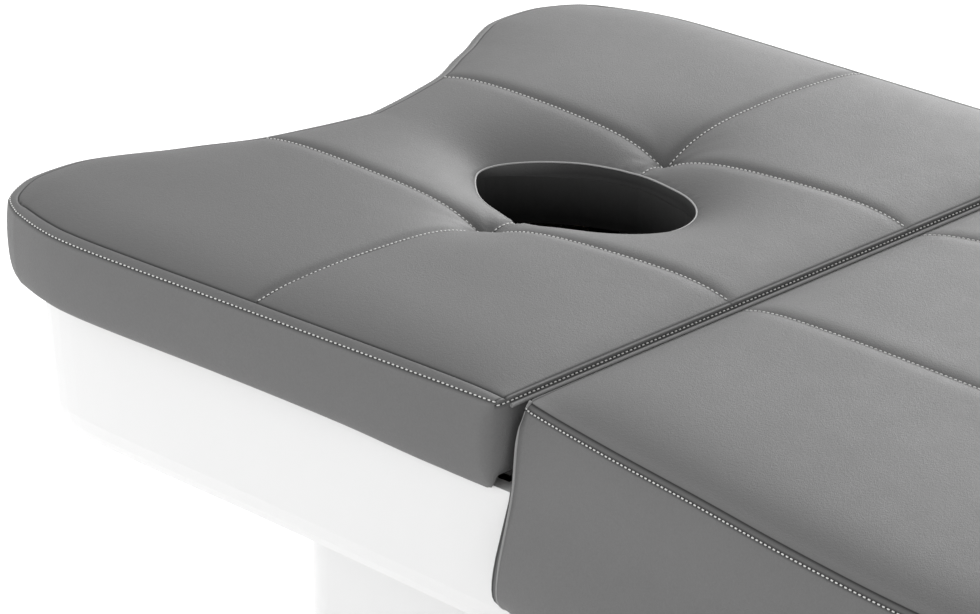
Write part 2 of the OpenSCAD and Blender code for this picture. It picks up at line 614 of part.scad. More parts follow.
module casing_prism(out, low, high) translate([0, 0, low]) linear_extrude(high - low)
  polygon(casing_ring(out));
module casing() color([0.95, 0.95, 0.95]) difference() {
  loft([for (s = casing_side_shares) [casing_draw * s[1], casing_top_z - casing_depth * s[0]]]);
  casing_prism(-casing_wall - casing_draw * cavity_top_share, casing_low_z + cavity_step, casing_top_z + over);
  casing_prism(-casing_wall - casing_draw * cavity_low_share, chassis_low_z, casing_low_z + cavity_step + over);
  both_x(column_x) box_at([0, 0, casing_low_z - over],
    [top_plate[0] + 2 * plate_gap, top_plate[1] + 2 * plate_gap, casing_wall + 2 * over]);
  shroud_screw_places() translate([0, 0, casing_low_z - over])
    cylinder(r = screw_r, h = casing_wall + 2 * over);
}
module casing_edge_seal() color([0.15, 0.15, 0.16]) intersection() {
  translate([0, 0, casing_top_z]) linear_extrude(seal_thick) difference() {
    polygon(casing_ring(0));
    polygon(casing_ring(-casing_wall));
  }
  block([-bed_length, seal_end], [-bed_width, bed_width], [0, seam_z]);
}

// Welded chassis on the casing's floor
module chassis() color([0.2, 0.2, 0.21]) difference() {
  union() {
    both_y(chassis_y) block([chassis_head_x, chassis_foot_x], [-chassis_tube / 2, chassis_tube / 2],
      [chassis_low_z, chassis_top_z]);
    block([rest_x - chassis_tube / 2, rest_x + chassis_tube / 2], [-hinge_y - rail_width, hinge_y + rail_width],
      [chassis_low_z, chassis_top_z]);
    for (x = [hinge_x, chassis_foot_x - chassis_tube / 2]) block([x - chassis_tube / 2, x + chassis_tube / 2],
      [-chassis_y, chassis_y], [chassis_low_z, chassis_top_z]);
    both_x(column_x) box_at([0, 0, chassis_low_z], [top_plate[0], 2 * chassis_y, top_plate[2]]);
    block([hinge_x, gearbox_x + gearbox[0]], [-gearbox[1] / 2, gearbox[1] / 2],
      [chassis_low_z, chassis_low_z + top_plate[2]]);
    both_y(hinge_y) side_plate(0, bracket_thick) {
      translate([hinge_x - knuckle_r, chassis_low_z]) square([2 * knuckle_r, hinge_z - chassis_low_z]);
      translate([hinge_x, hinge_z]) circle(r = knuckle_r);
    }
    both_y(hinge_y) translate([hinge_x, 0, hinge_z])
      rod_y(knuckle_r, -rail_width / 2 + hair, rail_width / 2 - hair);
  }
  for (s = [-1, 1]) hollow_x([chassis_head_x, chassis_foot_x], s * chassis_y, chassis_low_z, chassis_tube);
  translate([hinge_x, 0, hinge_z]) rod_y(bush_r, -hinge_y - rail_width, hinge_y + rail_width);
  column_top_places() translate([0, 0, chassis_low_z - over])
    cylinder(r = bolt_r + bolt_fit, h = top_plate[2] + bolt_head + 2 * over);
}
module hinge_bushes() color([0.85, 0.72, 0.35]) both_y(hinge_y) translate([hinge_x, 0, hinge_z]) difference() {
  rod_y(bush_r, -rail_width / 2 + hair, rail_width / 2 - hair);
  rod_y(hinge_pin_r + pin_fit, -rail_width, rail_width);
}
module board_bearers() color([0.2, 0.2, 0.21]) difference() {
  bearer_places() {
    box_at([0, 0, pad_low_z - bearer_thick], [bearer_width, 2 * bearer_half, bearer_thick]);
    both_y(chassis_y) box_at([0, 0, chassis_top_z],
      [post_width, post_width, pad_low_z - bearer_thick - chassis_top_z]);
  }
  body_screw_places() translate([0, 0, pad_low_z - bearer_thick - over])
    cylinder(r = screw_r, h = bearer_thick + 2 * over);
}
module rest_buffers() color([0.08, 0.08, 0.08]) both_y(hinge_y) translate([rest_x, 0, chassis_top_z])
  cylinder(r1 = rail_width / 2, r2 = rail_width / 3, h = rail_low_z - chassis_top_z - hair);

// Tilt ram: its rod pushes the cross pin along the slots of the head frame's lever
module ram_rod() color([0.8, 0.8, 0.82]) translate([pin_x, 0, pin_z]) difference() {
  union() {
    rod_y(eye_r, -eye_half, eye_half);
    rod_x(ram_rod_r, 0, ram_tube_gap + ram_stroke + rod_grip);
  }
  rod_y(ram_pin_r, -eye_half - over, eye_half + over);
}
module ram_cross_pin() color([0.75, 0.75, 0.77]) translate([pin_x, 0, pin_z])
  rod_y(ram_pin_r, -lever_y - lever_thick - pin_head, lever_y + lever_thick + pin_head);
module ram_pin_clips() color([0.3, 0.3, 0.32]) translate([pin_x, 0, pin_z]) for (s = [-1, 1]) difference() {
  translate([0, s * (lever_y + lever_thick + pin_head / 2), 0])
    rod_y(ram_pin_r + pin_head, -pin_head / 4, pin_head / 4);
  rod_y(ram_pin_r, -bed_width, bed_width);
}
module ram_tube() color([0.25, 0.25, 0.27]) translate([0, 0, pin_z]) difference() {
  rod_x(ram_tube_r, ram_tube_x, gearbox_x);
  rod_x(ram_rod_r + pin_fit, ram_tube_x - over, gearbox_x + over);
}
module ram_gearbox() color([0.25, 0.25, 0.27]) translate([gearbox_x, 0, pin_z - gearbox[2] / 2])
  block([0, gearbox[0]], [-gearbox[1] / 2, gearbox[1] / 2], [0, gearbox[2]]);
module ram_motor() color([0.12, 0.12, 0.13]) translate([gearbox_x + gearbox[0] / 2, gearbox[1] / 2, pin_z])
  rod_y(motor_r, 0, motor_length);
module ram_clamps() color([0.2, 0.2, 0.21]) difference() {
  union() {
    box_at([gearbox_x + gearbox[0] / 2, 0, clamp_low_z],
      [gearbox[0], gearbox[1], pin_z - gearbox[2] / 2 - clamp_low_z]);
    box_at([ram_tube_x + clamp_length, 0, clamp_low_z],
      [clamp_length, 2 * ram_tube_r + 2 * foot_plate, pin_z - clamp_low_z]);
  }
  translate([0, 0, pin_z]) rod_x(ram_tube_r, ram_tube_x - over, gearbox_x + over);
}

// Telescopic columns
module column_inner_tubes() color([0.78, 0.78, 0.8]) both_x(column_x) difference() {
  union() {
    tube_box(inner_size, column_wall, inner_low_z, inner_top_z);
    box_at([0, 0, inner_top_z], top_plate);
  }
  plate_bolt_places() translate([0, 0, inner_top_z - over])
    cylinder(r = bolt_r + bolt_fit, h = top_plate[2] + 2 * over);
}
module plate_bolt_places() for (a = [-1, 1]) for (b = [-1, 1])
  translate([a * (top_plate[0] / 2 - bolt_inset), b * (top_plate[1] / 2 - bolt_inset), 0]) children();
module column_top_places() both_x(column_x) plate_bolt_places() children();
module column_top_bolts() color([0.7, 0.7, 0.72]) column_top_places() {
  translate([0, 0, inner_top_z]) cylinder(r = bolt_r, h = 2 * top_plate[2] + bolt_head);
  translate([0, 0, inner_top_z - bolt_head]) cylinder(r = bolt_head_r, h = bolt_head, $fn = 6);
}
module column_middle_tubes() color([0.82, 0.82, 0.84]) both_x(column_x)
  tube_box(middle_size, column_wall, middle_low_z, middle_top_z);
module glide_ring(size, low) both_x(column_x) tube_box(size, glide_gap - hair / 2, low, low + glide_height);
module column_middle_glides() color([0.95, 0.95, 0.9])
  glide_ring(middle_size - 2 * column_wall, middle_top_z - glide_height);
module column_outer_glides() color([0.95, 0.95, 0.9])
  glide_ring(column_size - 2 * column_wall, outer_top_z - glide_height);
module column_outer_tubes() color([0.7, 0.7, 0.72]) both_x(column_x) difference() {
  union() {
    tube_box(column_size, column_wall, base_top_z, outer_top_z);
    box_at([0, 0, base_top_z], [top_plate[0], top_plate[1], flange_thick]);
  }
  plate_bolt_places() translate([0, 0, base_top_z - over])
    cylinder(r = bolt_r + bolt_fit, h = flange_thick + 2 * over);
}
module column_foot_bolts() color([0.7, 0.7, 0.72]) column_top_places() {
  translate([0, 0, base_top_z - 2 * top_plate[2]]) cylinder(r = bolt_r, h = 2 * top_plate[2] + flange_thick);
  translate([0, 0, base_top_z + flange_thick]) cylinder(r = bolt_head_r, h = bolt_head, $fn = 6);
}
module column_motors() color([0.12, 0.12, 0.13]) for (s = [-1, 1]) {
  place = [s * (column_x - column_size / 2 - motor_r), 0, base_top_z + flange_thick];
  translate(place) cylinder(r = motor_r, h = inner_top_z - column_motor_gap - place[2]);
}

// Pedestal: the shroud hangs from the casing and slides down over the plinth
module shell(l, w, r, wall, low, high) translate([0, 0, low]) linear_extrude(high - low) difference() {
  round_plate(l, w, r);
  round_plate(l - 2 * wall, w - 2 * wall, r - wall);
}
module shroud_screw_places() for (a = shroud_screws_shares)
  both_y(pedestal_width / 2 - sheet_wall - flange_width / 2)
  translate([a * pedestal_length / 2, 0, 0]) children();
module pedestal_shroud() color([0.93, 0.93, 0.93]) difference() {
  union() {
    shell(pedestal_length, pedestal_width, pedestal_corner, sheet_wall, shroud_low_z, casing_low_z);
    shell(pedestal_length - sheet_wall, pedestal_width - sheet_wall, pedestal_corner - sheet_wall / 2,
      flange_width, casing_low_z - flange_thick, casing_low_z);
  }
  shroud_screw_places() translate([0, 0, casing_low_z - flange_thick - over])
    cylinder(r = screw_r, h = flange_thick + 2 * over);
}
module shroud_screws() color([0.7, 0.7, 0.72]) shroud_screw_places() {
  translate([0, 0, casing_low_z - flange_thick]) cylinder(r = screw_r, h = flange_thick + casing_wall);
  translate([0, 0, casing_low_z - flange_thick - screw_head]) cylinder(r = screw_head_r, h = screw_head);
}
module plinth() color([0.9, 0.9, 0.9]) difference() {
  shell(plinth_length, plinth_width, plinth_corner, sheet_wall, plinth_low_z, casing_low_z - plinth_top_gap);
  pedal_places() translate([0, pedal_face_y, pedal_z])
    rod_y(pedal_pin_r + 2 * sheet_wall, -over, sheet_wall + over);
  block([plinth_length / 2 - sheet_wall - over, plinth_length / 2 + over],
    [-inlet_size[0] / 2, inlet_size[0] / 2], [inlet_z - inlet_size[1] / 2, inlet_z + inlet_size[1] / 2]);
}
module kick_strip() color([0.15, 0.15, 0.16])
  shell(plinth_length + 2 * kick_thick, plinth_width + 2 * kick_thick, plinth_corner + kick_thick, kick_thick,
    plinth_low_z, plinth_low_z + kick_height);

// Base frame on four levelling feet
module base_frame() color([0.2, 0.2, 0.21]) difference() {
  union() {
    both_y(base_y) block([-plinth_length / 2 + sheet_wall, plinth_length / 2 - sheet_wall],
      [-base_width / 2, base_width / 2], [base_low_z, base_top_z]);
    both_x(foot_x) block([-base_width / 2, base_width / 2],
      [-plinth_width / 2 + sheet_wall, plinth_width / 2 - sheet_wall], [base_low_z, base_top_z]);
    both_x(column_x) box_at([0, 0, base_top_z - top_plate[2]], [top_plate[0], 2 * base_y, top_plate[2]]);
  }
  both_y(base_y) block([-plinth_length / 2, plinth_length / 2],
    [-base_width / 2 + tube_wall, base_width / 2 - tube_wall], [base_low_z + tube_wall, base_top_z - tube_wall]);
  foot_places() translate([0, 0, base_low_z - over])
    cylinder(r = foot_stem_r + bolt_fit, h = base_tube + 2 * over);
  column_top_places() translate([0, 0, base_top_z - top_plate[2] - over])
    cylinder(r = bolt_r + bolt_fit, h = top_plate[2] + 2 * over);
}
module foot_places() both_x(foot_x) both_y(base_y) children();
module levelling_feet() color([0.1, 0.1, 0.1]) foot_places() {
  cylinder(r = foot_r, h = foot_thick);
  cylinder(r = foot_stem_r, h = base_top_z + 2 * foot_thick);
}
module feet_lock_nuts() color([0.7, 0.7, 0.72]) foot_places() translate([0, 0, base_low_z - bolt_head])
  difference() {
  cylinder(r = 2 * foot_stem_r, h = bolt_head, $fn = 6);
  translate([0, 0, -over]) cylinder(r = foot_stem_r + bolt_fit, h = bolt_head + 2 * over);
}
module electronics_tray() color([0.6, 0.6, 0.62])
  box_at([0, 0, base_top_z], [tray_length, 2 * base_y, tray_thick]);
module control_box() color([0.15, 0.15, 0.16]) translate([0, 0, base_top_z + tray_thick]) difference() {
  box_at([0, 0, 0], box_size);
  box_at([0, 0, lid_thick], [box_size[0] - 2 * lid_thick, box_size[1] - 2 * lid_thick, box_size[2]]);
}
module control_box_lid() color([0.3, 0.3, 0.32]) translate([0, 0, base_top_z + tray_thick + box_size[2]])
  box_at([0, 0, 0], [box_size[0], box_size[1], lid_thick]);
module power_inlet() color([0.08, 0.08, 0.08]) translate([plinth_length / 2, 0, inlet_z]) difference() {
  union() {
    block([-inlet_depth, 0], [-inlet_size[0] / 2, inlet_size[0] / 2], [-inlet_size[1] / 2, inlet_size[1] / 2]);
    block([0, inlet_lip], [-inlet_size[0] / 2 - inlet_lip, inlet_size[0] / 2 + inlet_lip],
      [-inlet_size[1] / 2 - inlet_lip, inlet_size[1] / 2 + inlet_lip]);
  }
  block([-inlet_depth * socket_shares[0], inlet_lip + over],
    [-inlet_size[0] * socket_shares[1] / 2, inlet_size[0] * socket_shares[1] / 2],
    [-inlet_size[1] * socket_shares[2] / 2, inlet_size[1] * socket_shares[2] / 2]);
}

// Foot pedals, which rock about pins that stand out of the plinth
module pedal_places() both_x(pedal_spacing / 2) children();
module pedal_brackets() color([0.2, 0.2, 0.21]) pedal_places() difference() {
  union() {
    block([-bracket_block[0] / 2, bracket_block[0] / 2],
      [pedal_face_y + sheet_wall, pedal_face_y + sheet_wall + bracket_block[1]],
      [base_top_z, base_top_z + bracket_block[2]]);
    block([-bracket_block[0] / 2, bracket_block[0] / 2], [pedal_face_y + sheet_wall, -base_y],
      [base_top_z, base_top_z + flange_thick]);
  }
  translate([0, 0, pedal_z]) rod_y(pedal_pin_r, pedal_face_y, -base_y);
}
module pedal_pins() color([0.75, 0.75, 0.77]) pedal_places()
  translate([0, pedal_face_y - pedal_reach - hair, pedal_z]) rod_y(pedal_pin_r, 0, pedal_pin_length);
module pedal_pin_caps() color([0.12, 0.12, 0.13]) pedal_places()
  translate([0, pedal_face_y - pedal_reach - hair, pedal_z]) rod_y(pedal_hub_r - screw_head, -screw_head, 0);
module pedal_springs() color([0.6, 0.6, 0.62]) pedal_places()
  translate([0, pedal_face_y + sheet_wall + bracket_block[1], pedal_z]) difference() {
    rod_y(spring_r, 0, spring_length);
    rod_y(pedal_pin_r, -over, spring_length + over);
  }
module pedal(x) translate([x, 0, pedal_z]) difference() {
  union() {
    rod_y(pedal_hub_r, pedal_face_y - pedal_reach, pedal_face_y - pocket_gap);
    block([-pedal_length / 2, pedal_length / 2],
      [pedal_face_y - pedal_reach, pedal_face_y - pocket_gap - kick_thick],
      [pedal_top - pedal_plate, pedal_top]);
  }
  rod_y(pedal_pin_r + pin_fit, pedal_face_y - pedal_reach - over, pedal_face_y + over);
}
module tread(x) translate([x, 0, pedal_z])
  block([-pedal_length / 2 + tread_border, pedal_length / 2 - tread_border],
    [pedal_face_y - pedal_reach + tread_border, pedal_face_y - pocket_gap - kick_thick - tread_border],
    [pedal_top, pedal_top + tread_thick]);
module lift_pedal() color([0.25, 0.25, 0.27]) pedal(-pedal_spacing / 2);
module lift_pedal_tread() color([0.08, 0.08, 0.08]) tread(-pedal_spacing / 2);
module head_pedal() color([0.25, 0.25, 0.27]) pedal(pedal_spacing / 2);
module head_pedal_tread() color([0.08, 0.08, 0.08]) tread(pedal_spacing / 2);

head_cover();
head_foam();
head_board();
face_hole_sleeve();
face_hole_piping();
head_rear_welt();
head_frame();
head_board_screws();
hinge_pins();
hinge_pin_clips();
body_cover();
body_foam();
body_board();
body_front_welt();
skirt_panel_left();
skirt_panel_right();
skirt_panel_foot();
body_board_screws();
casing();
casing_edge_seal();
chassis();
hinge_bushes();
board_bearers();
rest_buffers();
ram_tube();
ram_gearbox();
ram_motor();
ram_clamps();
column_inner_tubes();
column_top_bolts();
pedestal_shroud();
shroud_screws();
ram_rod();
ram_cross_pin();
ram_pin_clips();
column_middle_tubes();
column_middle_glides();
base_frame();
column_outer_tubes();
column_outer_glides();
column_motors();
column_foot_bolts();
plinth();
kick_strip();
levelling_feet();
feet_lock_nuts();
electronics_tray();
control_box();
control_box_lid();
power_inlet();
pedal_brackets();
pedal_pins();
pedal_pin_caps();
pedal_springs();
lift_pedal();
lift_pedal_tread();
head_pedal();
head_pedal_tread();
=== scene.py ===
import json
import math

import bpy
import numpy as np
from mathutils import Matrix, Vector


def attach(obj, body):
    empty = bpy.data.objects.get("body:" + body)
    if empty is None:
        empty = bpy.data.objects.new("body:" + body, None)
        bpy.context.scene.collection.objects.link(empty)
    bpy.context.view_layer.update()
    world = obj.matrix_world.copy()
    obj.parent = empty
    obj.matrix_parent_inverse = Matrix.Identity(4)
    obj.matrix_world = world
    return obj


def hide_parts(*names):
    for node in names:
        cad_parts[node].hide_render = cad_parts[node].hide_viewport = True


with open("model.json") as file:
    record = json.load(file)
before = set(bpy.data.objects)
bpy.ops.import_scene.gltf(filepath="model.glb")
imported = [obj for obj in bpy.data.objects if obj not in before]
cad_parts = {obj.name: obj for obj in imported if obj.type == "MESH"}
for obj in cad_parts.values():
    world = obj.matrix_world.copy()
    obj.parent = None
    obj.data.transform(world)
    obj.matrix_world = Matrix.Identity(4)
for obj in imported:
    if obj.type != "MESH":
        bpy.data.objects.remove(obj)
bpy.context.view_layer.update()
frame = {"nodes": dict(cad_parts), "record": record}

nodes = frame["nodes"]
print("frame loaded:", len(nodes), "nodes")
mm = 0.001


# Shader helpers
class Wire:
    def __init__(self, finish, socket):
        self.finish, self.socket = finish, socket

    def maths(self, operation, a, b):
        return self.finish.add("ShaderNodeMath", {"operation": operation}, {0: a, 1: b})

    def __add__(self, other):
        return self.maths("ADD", self, other)

    def __sub__(self, other):
        return self.maths("SUBTRACT", self, other)

    def __rsub__(self, other):
        return self.maths("SUBTRACT", other, self)

    def __mul__(self, other):
        return self.maths("MULTIPLY", self, other)

    __radd__ = __add__
    __rmul__ = __mul__


class Finish:
    def __init__(self, name, colour, roughness, metallic=0.0):
        self.material = bpy.data.materials.new(name)
        self.material.use_nodes = True
        self.tree = self.material.node_tree
        self.shader = self.tree.nodes["Principled BSDF"]
        self.material.diffuse_color = (*colour, 1)
        self.shader.inputs["Base Color"].default_value = (*colour, 1)
        self.shader.inputs["Roughness"].default_value = roughness
        self.shader.inputs["Metallic"].default_value = metallic
        self.place = None

    def add(self, kind, settings=None, sockets=None, out=0):
        made = self.tree.nodes.new(kind)
        for key, value in (settings or {}).items():
            setattr(made, key, value)
        for key, value in (sockets or {}).items():
            if isinstance(value, Wire):
                self.tree.links.new(value.socket, made.inputs[key])
            else:
                made.inputs[key].default_value = value
        return Wire(self, made.outputs[out])

    def where(self):
        if self.place is None:
            self.place = self.add("ShaderNodeTexCoord", out=3)
        return self.place

    def noise(self, scale, detail=2.0, rough=0.5, stretch=None):
        place = self.where()
        if stretch:
            place = self.add("ShaderNodeMapping", {}, {"Vector": place, "Scale": stretch})
        return self.add("ShaderNodeTexNoise", {},
                        {"Vector": place, "Scale": scale, "Detail": detail, "Roughness": rough})

    def mix(self, share, a, b):
        return self.add("ShaderNodeMix", {"data_type": "RGBA"}, {0: share, 6: a, 7: b}, out=2)

    def feed(self, name, wire):
        self.tree.links.new(wire.socket, self.shader.inputs[name])

    def bump(self, height, strength, distance):
        raised = {"Strength": strength, "Distance": distance, "Height": height}
        self.feed("Normal", self.add("ShaderNodeBump", {}, raised))


def grey(v):
    return (v, v, v, 1)


# Tones are scene-linear, scales are per metre. Share is how much of a layer shows
# The lighter tones of the rolled edges and of the hole's piping are painted highlight; the darkest tone is painted
# shade
leatherLook = {
    "tone": 0.143, "pipingTone": 0.25, "holeHighlightTone": 0.42, "patchy": 0.05, "patchScale": 4.5,
    "grain": 1500, "grainShare": 0.16, "grainTone": 0.72, "grainEase": 0.6,
    "fleck": 480, "fleckRough": 0.7, "fleckShare": 0.34, "fleckTone": 1.6,
    "highlightTone": 0.24, "highlightShare": 0.45, "seamTone": 0.02,
    "roughness": 0.53, "dull": 0.1, "dullScale": 55, "highlightGloss": 0.05, "seamDull": 0.2, "shine": 0.24,
    "bump": 0.4, "bumpDepth": 0.0006, "grainBump": 0.7, "fineBump": 0.9, "fineScale": 420,
}


def leatherette(name, look, tone):
    f = Finish(name, (tone, tone, tone), look["roughness"])
    f.shader.inputs["Specular IOR Level"].default_value = look["shine"]
    patch = f.noise(look["patchScale"], 3)
    cloud = f.mix(patch, grey(tone * (1 - look["patchy"])), grey(tone * (1 + look["patchy"])))
    cells = f.add("ShaderNodeTexVoronoi", {"feature": "SMOOTH_F1"},
                  {"Vector": f.where(), "Scale": look["grain"], "Smoothness": look["grainEase"]})
    cloud = f.mix(cells * look["grainShare"], cloud, grey(tone * look["grainTone"]))
    flecks = f.noise(look["fleck"], 3, look["fleckRough"])
    cloud = f.mix(flecks * look["fleckShare"], cloud, grey(tone * look["fleckTone"]))
    # The first attribute is a painted highlight along the rolled edges and the top of the sides; the second is painted
    # shade in the sewn lines, on the channel banks, down the hole's wall and under the hem
    rub = f.add("ShaderNodeAttribute", {"attribute_name": "rub"}, out=2)
    seam = f.add("ShaderNodeAttribute", {"attribute_name": "seam"}, out=2)
    highlighted = f.mix(rub * look["highlightShare"], cloud, grey(look["highlightTone"]))
    f.feed("Base Color", f.mix(seam, highlighted, grey(look["seamTone"])))
    dull = f.noise(look["dullScale"], 4)
    f.feed("Roughness", look["roughness"] + look["dull"] * dull - look["highlightGloss"] * rub + look["seamDull"] * seam)
    fine = f.noise(look["fineScale"], 3)
    f.bump(cells * look["grainBump"] + fine * look["fineBump"], look["bump"], look["bumpDepth"])
    return f.material


plainLook = {"clouds": 7, "leastRough": 0.86, "roughSpread": 0.28}  # shares of a finish's own roughness


def plainFinish(name, colour, roughness, metallic=0.0, patchy=0.06, grain=260.0, bump=0.08, depth=0.0002,
                stretch=None):
    f = Finish(name, colour, roughness, metallic)
    low = tuple(c * (1 - patchy) for c in colour) + (1,)
    high = tuple(min(1, c * (1 + patchy)) for c in colour) + (1,)
    fine = f.noise(grain, 3, 0.6, stretch)
    f.feed("Base Color", f.mix(f.noise(plainLook["clouds"], 3), low, high))
    f.feed("Roughness", roughness * plainLook["leastRough"] + roughness * plainLook["roughSpread"] * fine)
    f.bump(fine, bump, depth)
    return f.material


plywoodLook = {
    "colour": (0.5, 0.36, 0.21), "light": (0.56, 0.41, 0.25, 1), "dark": (0.36, 0.23, 0.12, 1),
    "rings": 9.0, "wander": 9.0, "wanderScale": 1.4, "ringShare": 0.55, "veins": 60, "veinShare": 0.35,
    "alongGrain": (0.12, 1, 1), "roughness": 0.52, "dull": 0.2, "bump": 0.2, "bumpDepth": 0.0003,
}


def plywoodFinish(name, look):
    f = Finish(name, look["colour"], look["roughness"])
    rings = f.add("ShaderNodeTexWave", {"wave_type": "BANDS", "bands_direction": "Y"},
                  {"Vector": f.where(), "Scale": look["rings"], "Distortion": look["wander"], "Detail": 3.0,
                   "Detail Scale": look["wanderScale"]})
    veins = f.noise(look["veins"], 4, 0.6, look["alongGrain"])
    f.feed("Base Color", f.mix(rings * look["ringShare"] + veins * look["veinShare"], look["light"], look["dark"]))
    f.feed("Roughness", look["roughness"] + veins * look["dull"])
    f.bump(veins, look["bump"], look["bumpDepth"])
    return f.material


# The lining is painted near black as the shade deep in the hole, and daylight reaches only the top of the sleeve: the
# painted tone turns from deep to upper between these heights
liningLook = {
    "colour": (0.012, 0.012, 0.013), "deepTone": 0.003, "upperTone": 0.05, "darkBelow": 0.54, "lightAbove": 0.575,
    "riseShare": 0.85, "patches": 90, "patchShare": 0.15, "shine": 0.2,
    "roughness": 0.7, "dull": 0.15, "dullScale": 400, "weave": 1400, "bump": 0.3, "bumpDepth": 0.0003,
}


def liningFinish(name, look):
    f = Finish(name, look["colour"], look["roughness"])
    f.shader.inputs["Specular IOR Level"].default_value = look["shine"]
    height = f.add("ShaderNodeSeparateXYZ", {}, {0: f.where()}, out=2)
    rise = f.add("ShaderNodeMapRange", {},
                 {"Value": height, "From Min": look["darkBelow"], "From Max": look["lightAbove"]})
    daylight = rise * look["riseShare"] + f.noise(look["patches"], 3) * look["patchShare"]
    f.feed("Base Color", f.mix(daylight, grey(look["deepTone"]), grey(look["upperTone"])))
    f.feed("Roughness", look["roughness"] + look["dull"] * f.noise(look["dullScale"], 2))
    f.bump(f.noise(look["weave"], 2), look["bump"], look["bumpDepth"])
    return f.material


rubberLook = {
    "colour": (0.02, 0.02, 0.021), "dark": (0.014, 0.014, 0.015, 1), "dusty": (0.032, 0.032, 0.033, 1),
    "ribs": 42.0, "ribHeight": 0.8, "dust": 90, "dustHeight": 0.1,
    "roughness": 0.66, "dull": 0.2, "bump": 0.6, "bumpDepth": 0.0016,
}


def ribbedRubber(name, look):
    f = Finish(name, look["colour"], look["roughness"])
    ribs = f.add("ShaderNodeTexWave", {"wave_type": "BANDS", "bands_direction": "X", "wave_profile": "SIN"},
                 {"Vector": f.where(), "Scale": look["ribs"], "Distortion": 0.0})
    dust = f.noise(look["dust"], 4)
    f.feed("Base Color", f.mix(dust, look["dark"], look["dusty"]))
    f.feed("Roughness", look["roughness"] + look["dull"] * dust)
    f.bump(ribs * look["ribHeight"] + dust * look["dustHeight"], look["bump"], look["bumpDepth"])
    return f.material


padLeather = leatherette("grey_leatherette", leatherLook, leatherLook["tone"])
pipingLeather = leatherette("piping_leatherette", leatherLook, leatherLook["pipingTone"])
# The hole's piping is painted much lighter than the cover, as a painted highlight on its folded edge
holePipingHighlit = leatherette("hole_piping_painted_highlight", leatherLook, leatherLook["holeHighlightTone"])
threadFinish = plainFinish("light_thread", (0.74, 0.74, 0.73), 0.62, patchy=0.1, grain=2600, bump=0.4)
paint = {"patchy": 0.008, "grain": 120, "bump": 0.03}
slots = {
    "foam": plainFinish("cut_foam", (0.74, 0.68, 0.46), 0.9, grain=900, bump=0.5, depth=0.0008),
    "plywood": plywoodFinish("birch_plywood", plywoodLook),
    "sleeve_lining": liningFinish("lining_painted_shade", liningLook),
    "white_casing": plainFinish("white_casing", (0.79, 0.79, 0.79), 0.32, **paint),
    "white_sheet": plainFinish("white_pedestal", (0.77, 0.77, 0.77), 0.36, **paint),
    "black_steel": plainFinish("powder_coat", (0.03, 0.03, 0.032), 0.48, grain=900, bump=0.25),
    "steel_screws": plainFinish("zinc_screws", (0.6, 0.6, 0.61), 0.34, 1.0, grain=300, bump=0.05),
    "bright_pins": plainFinish("ground_steel", (0.7, 0.7, 0.71), 0.22, 1.0, grain=500, bump=0.05,
                               stretch=(1, 0.05, 1)),
    "spring_clips": plainFinish("oiled_steel", (0.3, 0.3, 0.31), 0.35, 1.0),
    "bronze_bush": plainFinish("sintered_bronze", (0.52, 0.34, 0.15), 0.42, 1.0, grain=1200, bump=0.15),
    "grey_housing": plainFinish("cast_grey", (0.17, 0.17, 0.18), 0.5, grain=500, bump=0.2),
    "black_motor": plainFinish("motor_black", (0.02, 0.02, 0.022), 0.4, grain=700, bump=0.15),
    "column_metal": plainFinish("anodised_aluminium", (0.62, 0.62, 0.64), 0.33, 1.0, grain=240, bump=0.04,
                                stretch=(1, 1, 0.03)),
    "glide_plastic": plainFinish("glide_nylon", (0.78, 0.77, 0.7), 0.5, grain=400),
    "zinc_tray": plainFinish("zinc_sheet", (0.5, 0.5, 0.52), 0.42, 1.0, patchy=0.16, grain=40, bump=0.03),
    "black_rubber": ribbedRubber("black_rubber", rubberLook),
    "black_plastic": plainFinish("black_moulding", (0.024, 0.024, 0.026), 0.5, grain=1100, bump=0.25),
    "grey_plastic": plainFinish("grey_moulding", (0.1, 0.1, 0.105), 0.5, grain=1100, bump=0.25),
    "pedal_metal": plainFinish("cast_pedal", (0.075, 0.075, 0.08), 0.42, grain=600, bump=0.2),
    "piping": pipingLeather,
    "grey_leatherette": padLeather,
}
slotOf = {row["node"]: row["material_slot"] for row in frame["record"]["subparts"]}
for name, piece in nodes.items():
    for place in piece.material_slots:
        place.material = slots[slotOf[name]]
print("finishes made")


# Shapes shared by the cushions
def throughTable(table, x):  # a smooth curve through the table's points
    xs, ys = np.array(table, float).T
    count = np.arange(len(xs))
    before, after = np.maximum(count - 1, 0), np.minimum(count + 1, len(xs) - 1)
    slope = (ys[after] - ys[before]) / (xs[after] - xs[before])
    x = np.asarray(x, float)
    i = np.clip(np.searchsorted(xs, x, side="right") - 1, 0, len(xs) - 2)
    h = xs[i + 1] - xs[i]
    s = np.minimum((x - xs[i]) / h, 1)
    return ((2 * s**3 - 3 * s**2 + 1) * ys[i] + (s**3 - 2 * s**2 + s) * h * slope[i]
            + (3 * s**2 - 2 * s**3) * ys[i + 1] + (s**3 - s**2) * h * slope[i + 1])


def fade(d, roll):  # 1 at the edge, falling off over roll
    return np.exp(-np.maximum(d, 0) / roll)


def bell(d, w):  # 1 on a line, falling off to both sides
    return np.exp(-(d / w) ** 2)


def lines(low, high, step, marks):  # even grid lines, with the marks kept exactly
    extra = sorted({round(m, 6) for m in marks if low <= m <= high} | {low, high})
    base = [v for v in np.linspace(low, high, max(2, round((high - low) / step) + 1))
            if min(abs(v - m) for m in extra) > 0.45 * step]
    return np.array(sorted(extra + base))


def around(mark, offsets):
    return [mark + d for d in offsets] + [mark - d for d in offsets] + [mark]


waves = {"count": 7, "shortest": 0.09, "longest": 0.24, "turn": 6.28, "divisor": 3}


def softWaves(u, y, size, seed):  # long, low waves in chance directions
    rng = np.random.default_rng(seed)
    total = 0 * u
    for _ in range(waves["count"]):
        angle = rng.uniform(0, math.pi)
        wave = rng.uniform(waves["shortest"], waves["longest"])
        phase = rng.uniform(0, waves["turn"])
        total = total + np.sin((u * math.cos(angle) + y * math.sin(angle)) * waves["turn"] / wave + phase)
    return size * total / waves["divisor"]


